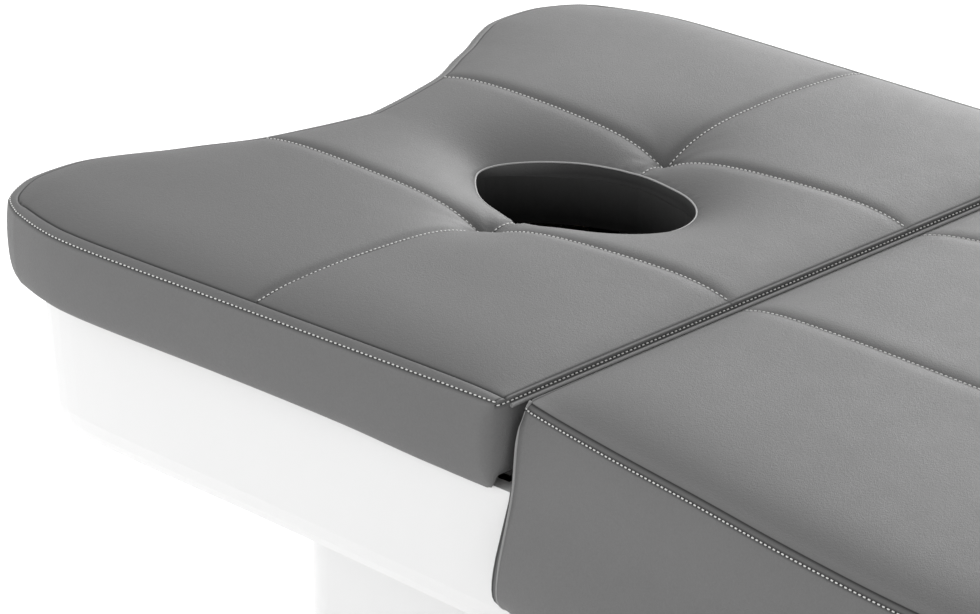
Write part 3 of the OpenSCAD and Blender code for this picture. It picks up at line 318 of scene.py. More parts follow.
# Sizes in metres, both cushions alike: the sewn lines and the bank behind the inner edge seam
quilt = {
    "grooveWidth": 0.0017, "grooveSink": 0.0007, "grooveFade": 0.012, "grooveLeast": 0.25,
    "seamFade": 0.005, "seamSink": 0.0012, "seamWidth": 0.0013,
    "bankRise": 0.0007, "bankAt": 0.45, "bankWidth": 0.0025, "cornerEase": 0.003,
    "puckerSize": 0.0013, "puckerReach": 0.017, "puckerCore": 0.006,
    "puckers": [(5, 1, 0.7), (9, 0.6, 2.1), (13, 0.4, 0)],  # folds round a tuft, their size and turn
    "edgeLines": [0.0008, 0.0016, 0.0024, 0.0032, 0.0045], "channelLines": [0.0008, 0.0018, 0.0033, 0.0055],
    "seamLines": [-0.0032, -0.0016, -0.0007, 0, 0.0007, 0.0016, 0.0032], "outerLine": 0.0025,
    "farShare": 0.9, "sideWaves": 1.6,
}

# What the leather's painted shade along the sewn lines, channel banks and hem, and its painted highlight along the
# rolled edges, are made of: strengths, and places in metres
shade = {
    "thread": 0.9, "threadAt": -0.0012, "threadWidth": 0.0013, "bank": 0.3, "bankAt": 0.004, "bankWidth": 0.0048,
    "lineWidth": 0.0009, "jointLine": 0.0024, "weltAt": 0.003, "weltWidth": 0.0014, "hem": 0.1,
    "rub": 0.6, "highlightAt": 0.004, "highlightWidth": 0.005, "jointHighlight": 0.0014, "sideHighlight": 0.4, "sideHighlightFade": 0.004,
}


# Sizes are in metres, except levels, marks and hem depths and the corner, flap and skew tables, in millimetres.
# u runs back from the joint, y across. Tables give shares of the length, the half width or the swell
headPad = {
    "jointX": -0.383, "seamZ": 0.6, "way": -1, "length": 0.595, "half": 0.374, "depth": 0.067,
    "crown": 0.013, "edgeRoll": 0.028, "swell": 0.004, "faceReach": 0.06, "step": 0.004, "endShare": 0.914,
    "channelDepth": 0.0019, "channelWidth": 0.0082, "channelShare": 0.2917, "seamIn": 0.009,
    "tuftSink": 0.027, "tuftRoll": 0.037, "tuftShare": 0.99,
    "holeBack": 0.26, "holeLength": 0.225, "holeWidth": 0.149, "rimSink": 0.022, "rimRoll": 0.036,
    "endSink": 0.009, "endReach": [0.085, 0.07], "endWide": 0.1, "sleeveTop": -0.0252,
    "halfTable": [[0, 0.983], [0.154, 0.9865], [0.309, 0.99], [0.51, 0.995], [0.71, 1], [0.804, 0.995],
                  [0.862, 0.978], [0.914, 0.953]],
    "farTable": [[0, 0.842], [0.1, 0.853], [0.19, 0.8655], [0.307, 0.885], [0.425, 0.919], [0.515, 0.944],
                 [0.572, 0.9635], [0.631, 0.982], [0.683, 0.995], [0.747, 1], [0.838, 0.997], [0.894, 0.984],
                 [0.946, 0.964], [0.974, 0.9425], [1, 0.914]],
    "sideTable": [[0, 0], [0.02, 0.4], [0.06, 0.7], [0.3, 1], [0.62, 0.9], [0.84, 0.45], [0.95, -0.5], [1, -2.2]],
    "faceTable": [[0, 0], [0.05, 0], [0.3, 0.2], [0.62, 0], [0.84, -0.5], [0.95, -1.9], [1, -4]],
    "holeTable": [[-1, 1.02], [-0.64, 0.98], [-0.39, 0.955], [0, 1], [0.22, 0.95], [0.465, 0.88], [0.71, 0.755],
                  [0.9, 0.64], [1, 0.6]],
    "skewTable": [[-1, 0], [0.3, 0], [0.55, 2], [0.75, 6], [0.9, 8], [1, 8]],  # the stitched rim is pulled to one side
    "holeRings": [(0.0008, -0.0002, 0.45), (0.003, 0.0003, 0.6), (0.009, 0.0005, 0.85), (0.016, 0.0003, 0.97),
                  (None, 0.0001, 1)],  # each row of the hole's wall: drop below the rim, growth, painted shade that deepens down the hole
    "levels": [0, 0.8, 2.2, 3.2, 4.2, 7, 11, 15, 20, 26, 32, 39, 46, 52, 56.5, 60, 62.5, 64.5, 66, 66.8, 67],
    "hem": [(-67.2, -2.3, -4.1), (-67.4, -4.6, -5.2), (-67.4, -5.6, -6.2), (-66.9, -5.8, -6.4)],
    "cornerTable": [[0, 4], [4, 9], [14, 17], [30, 19], [48, 17], [60, 8], [67, 1.5], [80, 1.5]],
    "flapTable": [[0, 8.6], [0.03, 8.4], [0.08, 7.4], [0.155, 3.4], [0.22, 1.6], [0.3, 0.5], [0.38, 0], [1, 0]],
    "flapReach": 0.14, "flapOut": -0.0064, "flapLining": -0.0068, "flapEase": 0.006,
    "slotAt": 0.21, "slotHalf": 0.006, "slotDepth": 0.008,  # slots for the hinge lugs
    "sideMarks": [(0.6, 0.0003, 1.2, 0.95)],  # sewn lines on the side: depth, sink, width, painted shade in the line
    "faceMarks": [(0.7, 0.0001, 0.7, 0.1), (3.2, 0.0004, 1.1, 0.95)],
    "waves": 0.00028, "seed": 3,
}
bodyPad = {
    "jointX": -0.373, "seamZ": 0.597, "way": 1, "length": 1.322, "half": 0.434, "depth": 0.161,
    "crown": 0.013, "edgeRoll": 0.028, "swell": 0.033, "faceReach": 0.06, "step": 0.0055, "endShare": 0.974,
    "channelDepth": 0.0015, "channelWidth": 0.009, "channelShare": 0.312,
    "halfTable": [[0, 0.797], [0.03, 0.818], [0.082, 0.85], [0.149, 0.887], [0.228, 0.933], [0.314, 0.972],
                  [0.409, 0.993], [0.5, 1], [0.63, 0.993], [0.735, 0.972], [0.846, 0.933], [0.92, 0.898],
                  [0.955, 0.86], [0.974, 0.815]],
    "farTable": [[0, 1], [0.3, 0.9995], [0.6, 0.997], [0.8, 0.993], [0.9, 0.988], [0.96, 0.982], [1, 0.974]],
    "sideTable": [[0, 0], [0.03, 0.2], [0.17, 0.37], [0.41, 0.49], [0.59, 0.71], [0.77, 0.94], [0.91, 1],
                  [0.975, 0.83], [1, 0.5]],
    "faceTable": [[0, 0], [0.91, 0], [0.975, -0.02], [1, -0.1]],
    "cornerTable": [[0, 6], [5, 9], [12, 8], [20, 4], [34, 2], [200, 2]],
    "levels": [0, 0.7, 1.5, 2.4, 3.2, 3.9, 4.6, 6, 8.5, 12, 17, 24, 34, 46, 60, 75, 90, 105, 118, 128, 136, 143, 149,
               153, 156, 158.5, 160.2, 161],
    "hem": [(-161.6, 0.1, -0.35), (-161.6, -0.3, -0.5), (-160.8, -0.53, -0.56), (-158, -0.56, -0.575),
            (-140, -0.56, -0.575)],
    "doorHalf": 0.322, "doorDepth": 0.064,  # the joint face is open for the casing
    "sideMarks": [(0.7, 0.0009, 0.7, 1), (3.9, 0.0005, 1.0, 0.95)],
    "faceMarks": [(0.7, 0.0001, 0.7, 0.1), (3.2, 0.0004, 1.1, 0.95)],
    "weltDark": 0.9, "waves": 0.0004, "seed": 8,
}


def halfAt(pad, u):
    return pad["half"] * throughTable(pad["halfTable"], np.minimum(u / pad["length"], pad["endShare"]))


def farAt(pad, s):
    return pad["length"] * throughTable(pad["farTable"], np.minimum(np.abs(s), 1))


def innerReach(half, far, u, y):  # distance to the outer edge, eased at the corners
    ease = quilt["cornerEase"]
    return -ease * np.logaddexp((np.abs(y) - half) / ease, (u - far) / ease)


def holeOutline(pad, grow, top=1.0, count=720):  # top 1 at the rim, 0 where the lining meets the sleeve
    turn = np.linspace(0, 2 * math.pi, count, endpoint=False)
    c = np.cos(turn)
    wide = throughTable(pad["holeTable"], c) + top * pad["endWide"] * np.maximum(c, 0) ** 2
    skew = top * throughTable(pad["skewTable"], c) * mm
    return (pad["holeLength"] / 2 + grow) * c, (pad["holeWidth"] / 2 + grow) * np.sin(turn) * wide + skew


def holeRadius(pad, angle, grow=0.0, top=1.0):
    x, y = holeOutline(pad, grow, top)
    at = np.arctan2(y, x)
    order = np.argsort(at)
    return np.interp(angle, at[order], np.hypot(x, y)[order], period=2 * math.pi)


def holeReach(pad, u, y):
    return np.hypot(u - pad["holeBack"], y) - holeRadius(pad, np.arctan2(y, u - pad["holeBack"]))


def crossSeam(pad, u, y):  # distance from the cross channels, which stop at the hole
    return np.where(np.abs(y) > pad["holeWidth"] / 2, u - pad["holeBack"], 1.0)


def holeSink(pad, u, y):  # how far the tufts and the hole's rim pull the top down
    along, aside = u - pad["holeBack"], np.abs(y) - pad["channelShare"] * pad["half"] * pad["tuftShare"]
    reach = np.hypot(along, aside)
    tuft = pad["tuftSink"] * fade(reach, pad["tuftRoll"])
    rim = pad["rimSink"] * fade(holeReach(pad, u, y), pad["rimRoll"])
    end = pad["holeBack"] + pad["holeLength"] / 2
    dip = pad["endSink"] * bell(u - end, pad["endReach"][0]) * bell(y, pad["endReach"][1])
    turn = np.arctan2(aside, along)
    folds = sum(size * np.sin(count * turn + phase) for count, size, phase in quilt["puckers"])
    near = fade(reach, quilt["puckerReach"]) * (1 - fade(reach, quilt["puckerCore"]))
    return np.hypot(tuft, rim) + dip + quilt["puckerSize"] * folds * near


def padHeight(pad, u, y, s):  # height of the top over the edge seam
    half, far, roll = halfAt(pad, u), farAt(pad, s), pad["edgeRoll"]
    edge = (1 - fade(u, roll)) * (1 - fade(half - np.abs(y), roll)) * (1 - fade(far - u, roll))
    off = np.abs(y) - pad["channelShare"] * half
    inner = innerReach(half, far, u, y)
    channel, groove = bell(off, pad["channelWidth"]), bell(off, quilt["grooveWidth"])
    sink = 0 * u
    if "holeBack" in pad:
        across = crossSeam(pad, u, y)
        within = np.clip((inner - pad["seamIn"]) / quilt["seamFade"], 0, 1)
        channel = within * np.maximum(channel, bell(across, pad["channelWidth"]))
        groove = within * np.maximum(groove, bell(across, quilt["grooveWidth"]))
        sink = holeSink(pad, u, y)
    rise = edge * (pad["crown"] - pad["channelDepth"] * channel - sink)
    inside = np.clip(np.minimum(inner, u) / quilt["grooveFade"], quilt["grooveLeast"], 1)
    rise = rise - quilt["grooveSink"] * groove * inside + softWaves(u, y, pad["waves"], pad["seed"]) * edge
    if "seamIn" in pad:
        rise = (rise - quilt["seamSink"] * bell(inner - pad["seamIn"], quilt["seamWidth"])
                + quilt["bankRise"] * bell(inner - quilt["bankAt"] * pad["seamIn"], quilt["bankWidth"]))
    return rise


def rimLoop(rows, cols):  # the grid's outer points in order, the joint edge first
    return ([(0, j) for j in range(cols)] + [(i, cols - 1) for i in range(1, rows)]
            + [(rows - 1, j) for j in range(cols - 2, -1, -1)] + [(i, 0) for i in range(rows - 2, 0, -1)])


def rimRing(pad, rim, cols, out, face):  # the rim moved out at the sides, and by face at the joint
    ahead = np.roll(rim, -1, axis=0) - np.roll(rim, 1, axis=0)
    normal = np.stack([-ahead[:, 1], ahead[:, 0]], 1) / np.hypot(ahead[:, 0], ahead[:, 1])[:, None]
    ring = rim + out[:, None] * normal
    ring[:, 0] -= face * np.maximum(0, 1 - rim[:, 0] / pad["faceReach"])
    front = np.arange(len(rim)) < cols
    ring[front, 0] = rim[front, 0] - face
    ring[front, 1] = rim[front, 1] * (1 + out[0] / abs(rim[0, 1]))
    return ring


def cornerShift(p, q, radius):  # rounds the corner between the joint face and a side
    a, b = np.maximum(radius - p, 0), np.maximum(radius - q, 0)
    return a * (1 - np.sqrt(1 - 0.5 * (b / radius) ** 2)), b * (1 - np.sqrt(1 - 0.5 * (a / radius) ** 2))


def roundedTop(pad, u, y):
    p, q = cornerShift(u, halfAt(pad, u) - np.abs(y), pad["cornerTable"][0][1] * mm)
    return u + p, y - np.sign(y) * q


def ringAt(pad, rim, cols, depth, out, face, floor=None):
    inward = halfAt(pad, rim[:, 0]) - np.abs(rim[:, 1])
    inward[rim[:, 0] > quilt["farShare"] * pad["length"]] = 0
    drop = np.zeros(len(rim))
    out = np.full(len(rim), out)
    if "flapTable" in pad:  # the lower corner by the joint hangs down as a flap
        near = np.clip(1 - rim[:, 0] / pad["flapReach"], 0, 1)
        limit = pad["flapOut"] if floor is None else pad["flapLining"]
        out = out + np.maximum(0, limit - out) * near * (floor is None or floor)
        if floor is None:
            hang = throughTable(pad["flapTable"], rim[:, 0]) * mm * depth / pad["depth"]
            drop = hang * np.maximum(0, 1 - inward / pad["flapEase"])
    ring = rimRing(pad, rim, cols, out, face)
    p, q = cornerShift(rim[:, 0], inward, throughTable(pad["cornerTable"], depth / mm) * mm)
    ring[:, 0] += p
    ring[:, 1] -= np.sign(ring[:, 1]) * q
    return ring, -depth - drop


def grooves(marks, z):  # how deep the sewn lines are at this height, and how much painted shade they hold
    sink, shades = 0, []
    for at, deep, wide, dark in marks:
        near = math.exp(-((z - at) / wide) ** 2)
        sink += deep * near
        shades.append(dark * near)
    return sink, max(shades)


def sideAt(pad, depth):  # how far the side and the joint face stand out at a depth
    share = depth / pad["depth"]
    return pad["swell"] * throughTable(pad["sideTable"], share), pad["swell"] * throughTable(pad["faceTable"], share)


def padLevels(pad):  # rows down the sides, then the hem that turns in under the cushion
    rows = []
    for z in pad["levels"]:
        out, face = sideAt(pad, z * mm)
        sideGroove, sideDark = grooves(pad["sideMarks"], z)
        faceGroove, faceDark = grooves(pad["faceMarks"], z)
        rows.append((z * mm, out - sideGroove, face - faceGroove, sideDark, faceDark, None))
    for n, (z, out, face) in enumerate(pad["hem"]):
        # The hem under the cushion gets a little painted shade
        rows.append((-z * mm, pad["swell"] * out, pad["swell"] * face, shade["hem"], shade["hem"], n == 0))
    return rows


def toWorld(pad, u, y, z):
    return np.stack([pad["jointX"] + pad["way"] * u, y, pad["seamZ"] + z], -1)


def scaled(marks, size):
    return [d / size for d in marks]


def fromEnd(marks, size):
    return [1 - d / size for d in marks]


def padGrid(pad):  # grid points, closer together at every sewn line and edge
    size, step = pad["length"], pad["step"]
    edgeLines, channelLines = quilt["edgeLines"], quilt["channelLines"]
    outer = edgeLines
    if "seamIn" in pad:
        outer = [quilt["outerLine"]] + [pad["seamIn"] + d for d in quilt["seamLines"]]
    marks = around(pad["channelShare"], scaled(channelLines, pad["half"])) + fromEnd(outer, pad["half"])
    start = float(halfAt(pad, 0))
    if "slotAt" in pad:
        marks += [(pad["slotAt"] + pad["slotHalf"]) / start, (pad["slotAt"] - pad["slotHalf"]) / start]
    if "doorHalf" in pad:
        marks += [pad["doorHalf"] / start]
    columns = lines(-1, 1, step / pad["half"], marks + [-m for m in marks])
    far = farAt(pad, columns)
    if "holeBack" in pad:
        back, rest = pad["holeBack"], size - pad["holeBack"]
        near = lines(0, 1, step / back, scaled(edgeLines, back) + around(1, scaled(channelLines, back)))
        beyond = lines(0, 1, step / rest, scaled(channelLines, rest) + fromEnd(outer, rest))[1:]
        u = np.concatenate([np.outer(near, 0 * far + back), back + np.outer(beyond, far - back)])
    else:
        u = np.outer(lines(0, 1, step / size, scaled(edgeLines, size) + fromEnd(edgeLines, size)), far)
    return u, columns[None, :] * halfAt(pad, u), np.repeat(columns[None, :], len(u), 0)


def seamShade(off):  # painted shade: dark under the thread, a softer painted shade on the bank behind it
    return np.maximum(shade["thread"] * bell(off - shade["threadAt"], shade["threadWidth"]),
                      shade["bank"] * bell(off - shade["bankAt"], shade["bankWidth"]))


# Painted shade along the sewn lines and beside the channels, and a painted highlight along the rolled edges of the top
def topShades(pad, u, y, s, half):
    seam = seamShade(y - np.where(y < 0, -1, 1) * pad["channelShare"] * half)
    if "holeBack" in pad:
        seam = np.maximum(seam, seamShade(crossSeam(pad, u, y)))
    inner = innerReach(half, farAt(pad, s), u, y)
    if "seamIn" in pad:
        edgeSeam = shade["thread"] * bell(inner - pad["seamIn"], shade["lineWidth"])
        seam = np.maximum(seam * (inner > pad["seamIn"]), edgeSeam)
    seam = np.maximum(seam, shade["thread"] * bell(u - shade["jointLine"], shade["lineWidth"]))
    rub = np.maximum(shade["rub"] * bell(inner - shade["highlightAt"], shade["highlightWidth"]), bell(u, shade["jointHighlight"]))
    return seam, rub


class Skin:  # a cushion's rows of points, their painted shade and painted highlight, and its faces
    def __init__(self):
        self.points, self.seams, self.rubs, self.faces, self.count = [], [], [], [], 0

    def addRow(self, places, seam, rub):
        self.points.append(places)
        self.seams.append(seam)
        self.rubs.append(rub)
        first, self.count = self.count, self.count + len(places)
        return list(range(first, self.count))


def cutHole(pad, u, y):  # brings the points inside the hole to its edge and drops the squares there
    along = u - pad["holeBack"]
    angle, reach = np.arctan2(y, along), np.hypot(y, along)
    edge = holeRadius(pad, angle)
    outside = (reach > edge) & (np.abs(reach - edge) >= 0.5 * pad["step"])
    keep = outside[:-1, :-1] | outside[:-1, 1:] | outside[1:, 1:] | outside[1:, :-1]
    u = np.where(outside, u, pad["holeBack"] + edge * np.cos(angle))
    return u, np.where(outside, y, edge * np.sin(angle)), keep


def isOpen(pad, across, depth):  # slots for the hinge lugs, and the opening that the casing needs
    slot = "slotAt" in pad and abs(across - pad["slotAt"]) < pad["slotHalf"] and depth > pad["slotDepth"]
    return slot or ("doorHalf" in pad and across < pad["doorHalf"] and depth > pad["doorDepth"])


def addSides(pad, skin, u, y, loop, upper):
    rim = np.array([[u[k], y[k]] for k in loop])
    count, cols = len(loop), u.shape[1]
    front = np.arange(count) < cols
    corner = np.where(front, halfAt(pad, 0) - np.abs(rim[:, 1]), 0)
    fold = softWaves(rim[:, 0], rim[:, 1], pad["waves"] * quilt["sideWaves"], pad["seed"] + 1)
    outward = rimRing(pad, rim, cols, np.full(count, 1.0), 0) - rim
    outward[front, 0] = 0
    for depth, out, face, sideDark, faceDark, floor in padLevels(pad)[1:]:
        ring, height = ringAt(pad, rim, cols, depth, out, face, floor)
        ring = ring + outward * (fold * math.sin(math.pi * min(1, depth / pad["depth"])) ** 2)[:, None]
        # Painted shade in the sewn lines of the sides and the joint face
        seam = np.where(front, faceDark, sideDark)
        # Painted shade in the creases beside the body's corner welts
        if "weltDark" in pad and floor is None:
            corded = bell(np.maximum(rim[:, 0], corner) - shade["weltAt"], shade["weltWidth"])
            seam = np.maximum(seam, pad["weltDark"] * corded)
        # A painted highlight along the top of the sides, fading downwards
        rub = np.full(count, shade["sideHighlight"] * math.exp(-depth / shade["sideHighlightFade"]))
        lower = skin.addRow(toWorld(pad, ring[:, 0], ring[:, 1], height), seam, rub)
        for k in range(count):
            n = (k + 1) % count
            if n < cols and k < cols and isOpen(pad, abs(rim[k, 1] + rim[n, 1]) / 2, depth):
                continue
            skin.faces.append((upper[n], upper[k], lower[k], lower[n]))
        upper = lower


def addHoleWall(pad, skin, quads, rimSpots, u, y, z):
    edges = dict.fromkeys((a, b) for q in quads for a, b in zip(q, q[1:] + q[:1]))
    lips = [(a, b) for a, b in edges if (b, a) not in edges and not (a in rimSpots and b in rimSpots)]
    corners = sorted({v for e in lips for v in e})
    index = {v: i for i, v in enumerate(corners)}
    z = z[corners]
    angle = np.arctan2(y[corners], u[corners] - pad["holeBack"])
    upper = corners
    # Painted shade grows row by row down the hole's wall
    for drop, grow, dark in pad["holeRings"]:
        depth = z - drop if drop else np.full(len(corners), pad["sleeveTop"])
        share = np.clip((depth - pad["sleeveTop"]) / (z - pad["sleeveTop"]), 0, 1)
        reach = share * holeRadius(pad, angle, grow) + (1 - share) * holeRadius(pad, angle, grow, 0)
        places = toWorld(pad, pad["holeBack"] + reach * np.cos(angle), reach * np.sin(angle), np.minimum(depth, z))
        lower = skin.addRow(places, np.full(len(corners), dark), np.zeros(len(corners)))
        skin.faces += [(upper[index[b]], upper[index[a]], lower[index[a]], lower[index[b]]) for a, b in lips]
        upper = lower


def addPiece(name, verts, faces, finish):
    mesh = bpy.data.meshes.new(name)
    mesh.from_pydata(verts, [], faces)
    mesh.polygons.foreach_set("use_smooth", [True] * len(mesh.polygons))
    mesh.materials.append(finish)
    mesh.update()
    piece = bpy.data.objects.new(name, mesh)
    bpy.context.scene.collection.objects.link(piece)
    return piece


def buildPad(name, pad):
    u, y, s = padGrid(pad)
    half = halfAt(pad, u)
    keep = np.ones((u.shape[0] - 1, u.shape[1] - 1), bool)
    if "holeBack" in pad:
        u, y, keep = cutHole(pad, u, y)
    z = padHeight(pad, u, y, s)
    seam, rub = topShades(pad, u, y, s, half)
    skin = Skin()
    top = skin.addRow(toWorld(pad, *roundedTop(pad, u, y), z).reshape(-1, 3), seam.ravel(), rub.ravel())
    spot = np.array(top).reshape(u.shape)
    quads = np.stack([spot[:-1, :-1], spot[:-1, 1:], spot[1:, 1:], spot[1:, :-1]], -1)[keep].tolist()
    skin.faces += [tuple(q) for q in quads]
    loop = rimLoop(*u.shape)
    rimSpots = [int(spot[k]) for k in loop]
    addSides(pad, skin, u, y, loop, rimSpots)
    if "holeBack" in pad:
        addHoleWall(pad, skin, quads, set(rimSpots), u.ravel(), y.ravel(), z.ravel())
    points = np.concatenate(skin.points)
    faces = [tuple(reversed(f)) for f in skin.faces] if pad["way"] < 0 else skin.faces
    used = np.zeros(len(points), bool)
    used[[v for f in faces for v in f]] = True
    number = np.cumsum(used) - 1
    piece = addPiece(name, points[used].tolist(), [tuple(int(number[v]) for v in f) for f in faces], padLeather)
    for label, rows in (("seam", skin.seams), ("rub", skin.rubs)):
        values = np.concatenate(rows)[used].astype(np.float32)
        piece.data.attributes.new(label, "FLOAT", "POINT").data.foreach_set("value", values)
    print(name, len(piece.data.vertices), "points")
    return piece


headCover = buildPad("head_cushion_cover", headPad)
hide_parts("head_cover")
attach(headCover, "head_section")
bodyCover = buildPad("body_cushion_cover", bodyPad)
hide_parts("body_cover")
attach(bodyCover, "carriage")
print("cushions made")


# Threads and piping, sizes in metres except the depths down a side, in millimetres
threads = {
    "pitch": 0.0046, "length": 0.0027, "radius": 0.00064, "sides": 5, "probe": 0.001,
    "profile": [(-0.5, 0.25), (-0.3, 0.95), (0.3, 0.95), (0.5, 0.25)],  # place along a stitch, and girth
    "lip": 0.0013, "lift": 0.0004, "sunk": 0.0001, "start": 0.004, "spare": 0.001, "bodyEnd": 0.003, "holeGap": 0.003,
    "headSide": 0.6, "headFace": 3.2, "bodyEdge": 3.9, "channelPoints": 400, "crossPoints": 240, "tubeSides": 10,
    "headMiddle": (-0.68, 0, 0.59), "bodyMiddle": (0.3, 0, 0.59),  # the side threads face away from these
}


def evenly(path, pitch, closed=False):
    path = np.asarray(path, float)
    if closed:
        path = np.concatenate([path, path[:1]])
    run = np.concatenate([[0], np.cumsum(np.linalg.norm(np.diff(path, axis=0), axis=1))])
    count = max(1, int(run[-1] / pitch))
    at = (np.arange(count) + 0.5) * run[-1] / count

    def along(places):
        return np.stack([np.interp(places, run, path[:, c]) for c in range(3)], 1)

    way = along(np.minimum(at + threads["probe"], run[-1])) - along(np.maximum(at - threads["probe"], 0))
    return along(at), way / np.linalg.norm(way, axis=1)[:, None]


def circle(sides, side, lift):
    turns = [2 * math.pi * m / sides for m in range(sides)]
    return [math.cos(a) * side + math.sin(a) * lift for a in turns]


def stitchRow(name, runs, body):
    verts, faces = [], []
    sides, profile = threads["sides"], threads["profile"]
    for path, up, closed in runs:
        for spot, way in zip(*evenly(path, threads["pitch"], closed)):
            side = np.cross(way, np.asarray(up(spot) if callable(up) else up, float))
            side /= np.linalg.norm(side)
            rays = circle(sides, side, np.cross(side, way))
            base = len(verts)
            for along, girth in profile:
                centre = spot + way * along * threads["length"]
                verts += [centre + threads["radius"] * girth * ray for ray in rays]
            for r in range(len(profile) - 1):
                for m in range(sides):
                    a, b = base + r * sides + m, base + r * sides + (m + 1) % sides
                    faces.append((a, b, b + sides, a + sides))
            faces.append(tuple(base + m for m in reversed(range(sides))))
            faces.append(tuple(base + (len(profile) - 1) * sides + m for m in range(sides)))
    piece = addPiece(name, [tuple(v) for v in verts], faces, threadFinish)
    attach(piece, body)
    return piece


def channelRun(pad, sign):
    s = sign * pad["channelShare"]
    far = float(farAt(pad, s)) - pad.get("seamIn", threads["bodyEnd"]) - threads["spare"]
    u = np.linspace(threads["start"], far, threads["channelPoints"])
    half = halfAt(pad, u)
    y = s * half - threads["lip"]
    return toWorld(pad, u, y, padHeight(pad, u, y, y / half) + threads["lift"])


def crossRun(pad, sign):
    half = float(halfAt(pad, pad["holeBack"]))
    far = half - pad["seamIn"] - threads["spare"]
    y = np.linspace(pad["holeWidth"] / 2 + threads["holeGap"], far, threads["crossPoints"])
    u = np.full_like(y, pad["holeBack"] - threads["lip"])
    return toWorld(pad, u, sign * y, padHeight(pad, u, y, y / half) + threads["lift"])


def sideRun(pad, depth, wanted=None):
    u, y, s = padGrid(pad)
    rim = np.array([[u[k], y[k]] for k in rimLoop(*u.shape)])
    cols = u.shape[1]
    out, face = sideAt(pad, depth * mm)
    ring, height = ringAt(pad, rim, cols, depth * mm, out - threads["sunk"], face - threads["sunk"])
    path = toWorld(pad, ring[:, 0], ring[:, 1], height)
    if wanted == "front":
        return path[:cols]
    if wanted == "sides":
        return np.concatenate([path[cols - 1:], path[:1]])
    return path


def outwards(centre):
    def up(spot):
        away = spot - np.array(centre)
        away[2] = 0
        return away / np.linalg.norm(away)
    return up


upright, toBody, bothSides = (0, 0, 1), (1, 0, 0), (1, -1)
fromHead, fromBody = outwards(threads["headMiddle"]), outwards(threads["bodyMiddle"])
headChannels = [(run(headPad, sign), upright, False) for run in (channelRun, crossRun) for sign in bothSides]
headEdges = [(sideRun(headPad, threads["headSide"], "sides"), fromHead, False),
             (sideRun(headPad, threads["headFace"], "front"), toBody, False)]
bodyChannels = [(channelRun(bodyPad, sign), upright, False) for sign in bothSides]
stitchRow("head_channel_stitching", headChannels, "head_section")
stitchRow("head_edge_topstitching", headEdges, "head_section")
stitchRow("body_channel_stitching", bodyChannels, "carriage")
stitchRow("body_edge_topstitching", [(sideRun(bodyPad, threads["bodyEdge"]), fromBody, True)], "carriage")


def tube(name, path, radius, body, closed=False, finish=pipingLeather):
    count, sides = len(path), threads["tubeSides"]
    way = np.roll(path, -1, 0) - np.roll(path, 1, 0) if closed else np.gradient(path, axis=0)
    way /= np.linalg.norm(way, axis=1)[:, None]
    steep = np.abs(way[:, 2:3]) > 0.9
    side = np.cross(way, np.where(steep, np.array([[0.3, 1.0, 0.0]]), np.array([[0.0, 0.0, 1.0]])))
    side /= np.linalg.norm(side, axis=1)[:, None]
    verts = np.stack([path + radius * ray for ray in circle(sides, side, np.cross(side, way))], 1).reshape(-1, 3)
    faces = []
    for k in range(count if closed else count - 1):
        a, b = k * sides, ((k + 1) % count) * sides
        faces += [(a + m, a + (m + 1) % sides, b + (m + 1) % sides, b + m) for m in range(sides)]
    if not closed:
        faces += [tuple(reversed(range(sides))), tuple((count - 1) * sides + m for m in range(sides))]
    piece = addPiece(name, verts.tolist(), faces, finish)
    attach(piece, body)
    return piece


holeEdge = {"radius": 0.0008, "sink": 0.0004, "points": 240}


def holePiping(pad):
    x, y = holeOutline(pad, -holeEdge["sink"], count=holeEdge["points"])
    rimX, rimY = holeOutline(pad, 0, count=holeEdge["points"])
    u = pad["holeBack"] + rimX
    return toWorld(pad, pad["holeBack"] + x, y, padHeight(pad, u, rimY, rimY / halfAt(pad, u)) - holeEdge["sink"])


piping = tube("face_hole_edge_piping", holePiping(headPad), holeEdge["radius"], "head_section", closed=True,
              finish=holePipingHighlit)
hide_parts("face_hole_piping")

welt = {"radius": 0.0018, "top": 0.5, "bottom": 158, "points": 110}


def cornerWelt(pad, sign):
    depths = np.linspace(welt["top"], welt["bottom"], welt["points"])
    out, face = sideAt(pad, depths * mm)
    inset = mm * throughTable(pad["cornerTable"], depths) * (1 - math.sqrt(0.5))
    return toWorld(pad, inset - face, sign * (float(halfAt(pad, 0)) + out - inset), -depths * mm)


for side, sign in (("left", 1), ("right", -1)):
    tube("body_corner_welt_" + side, cornerWelt(bodyPad, sign), welt["radius"], "carriage")
print("threads and piping made")

# Floor, light and camera
studio = {
    "floorTone": 0.9, "floorGlow": 0.28, "floorHalf": 30, "world": 0.97, "worldAcross": 0.16, "worldUp": -0.47,
    "aim": (-0.4, 0, 0.5), "key": 205.0, "keyAt": (-1.6, 3.8, 2.2), "keySize": 3.0,
    "fill": 48.0, "fillAt": (-3.2, -3.4, 2.0), "fillSize": 3.0,
}
floorMesh = bpy.data.meshes.new("studio_floor")
floorCorners = [(x * studio["floorHalf"], y * studio["floorHalf"], 0) for x, y in ((-1, -1), (1, -1), (1, 1), (-1, 1))]
floorMesh.from_pydata(floorCorners, [], [(0, 1, 2, 3)])
floorMesh.materials.append(plainFinish("studio_white", (studio["floorTone"],) * 3, 0.7, patchy=0.004, grain=3,
                                       bump=0.0))
glow = floorMesh.materials[0].node_tree.nodes["Principled BSDF"].inputs
glow["Emission Color"].default_value = (1, 1, 1, 1)
glow["Emission Strength"].default_value = studio["floorGlow"]
floor = bpy.data.objects.new("studio_floor", floorMesh)
bpy.context.scene.collection.objects.link(floor)

world = bpy.data.worlds.new("studio")
world.use_nodes = True
sky = world.node_tree.nodes["Background"].inputs
sky["Color"].default_value = (1, 1, 1, 1)
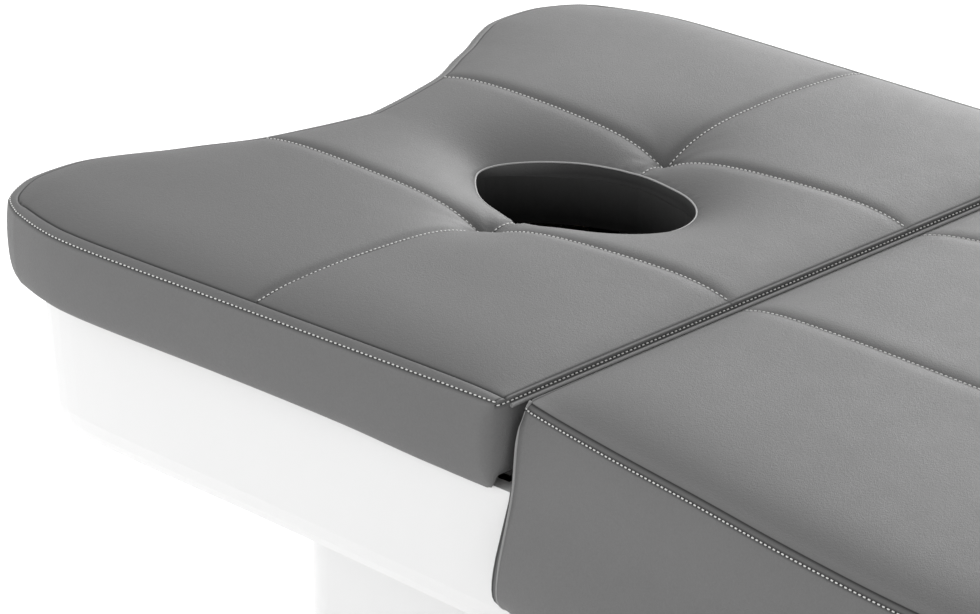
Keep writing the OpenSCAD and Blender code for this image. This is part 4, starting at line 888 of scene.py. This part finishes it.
# The world is a little brighter low down and to one side, as soft boxes round a table are
slope = world.node_tree.nodes.new("ShaderNodeVectorMath")
slope.operation = "DOT_PRODUCT"
slope.inputs[1].default_value = (studio["worldAcross"], 0, studio["worldUp"])
level = world.node_tree.nodes.new("ShaderNodeMath")
level.inputs[1].default_value = studio["world"]
direction = world.node_tree.nodes.new("ShaderNodeTexCoord")
world.node_tree.links.new(direction.outputs["Generated"], slope.inputs[0])
world.node_tree.links.new(slope.outputs["Value"], level.inputs[0])
world.node_tree.links.new(level.outputs[0], sky["Strength"])
bpy.context.scene.world = world


def areaLight(name, at, aim, size, power):
    lamp = bpy.data.lights.new(name, "AREA")
    lamp.energy, lamp.size = power, size
    piece = bpy.data.objects.new(name, lamp)
    piece.location = at
    piece.rotation_euler = (Vector(aim) - Vector(at)).to_track_quat("-Z", "Y").to_euler()
    bpy.context.scene.collection.objects.link(piece)


areaLight("key_light", studio["keyAt"], studio["aim"], studio["keySize"], studio["key"])
areaLight("fill_light", studio["fillAt"], studio["aim"], studio["fillSize"], studio["fill"])

view = {"at": (1.67769, -2.53476, 1.90361), "azimuth": 43.666, "elevation": 22.344, "lens": 165.306, "sensor": 36,
        "nearest": 0.05, "farthest": 200}
az, el = math.radians(view["azimuth"]), math.radians(view["elevation"])
back = Vector((math.sin(az) * math.cos(el), -math.cos(az) * math.cos(el), math.sin(el)))
right = Vector((math.cos(az), math.sin(az), 0))
lift = back.cross(right)
lens = bpy.data.cameras.new("camera")
lens.lens, lens.sensor_width, lens.sensor_fit = view["lens"], view["sensor"], "HORIZONTAL"
lens.clip_start, lens.clip_end = view["nearest"], view["farthest"]
camera = bpy.data.objects.new("camera", lens)
camera.matrix_world = Matrix((
    (right.x, lift.x, back.x, view["at"][0]), (right.y, lift.y, back.y, view["at"][1]),
    (right.z, lift.z, back.z, view["at"][2]), (0, 0, 0, 1)))
bpy.context.scene.collection.objects.link(camera)
bpy.context.scene.camera = camera
bpy.context.scene.view_settings.view_transform = "Standard"
print("studio set")
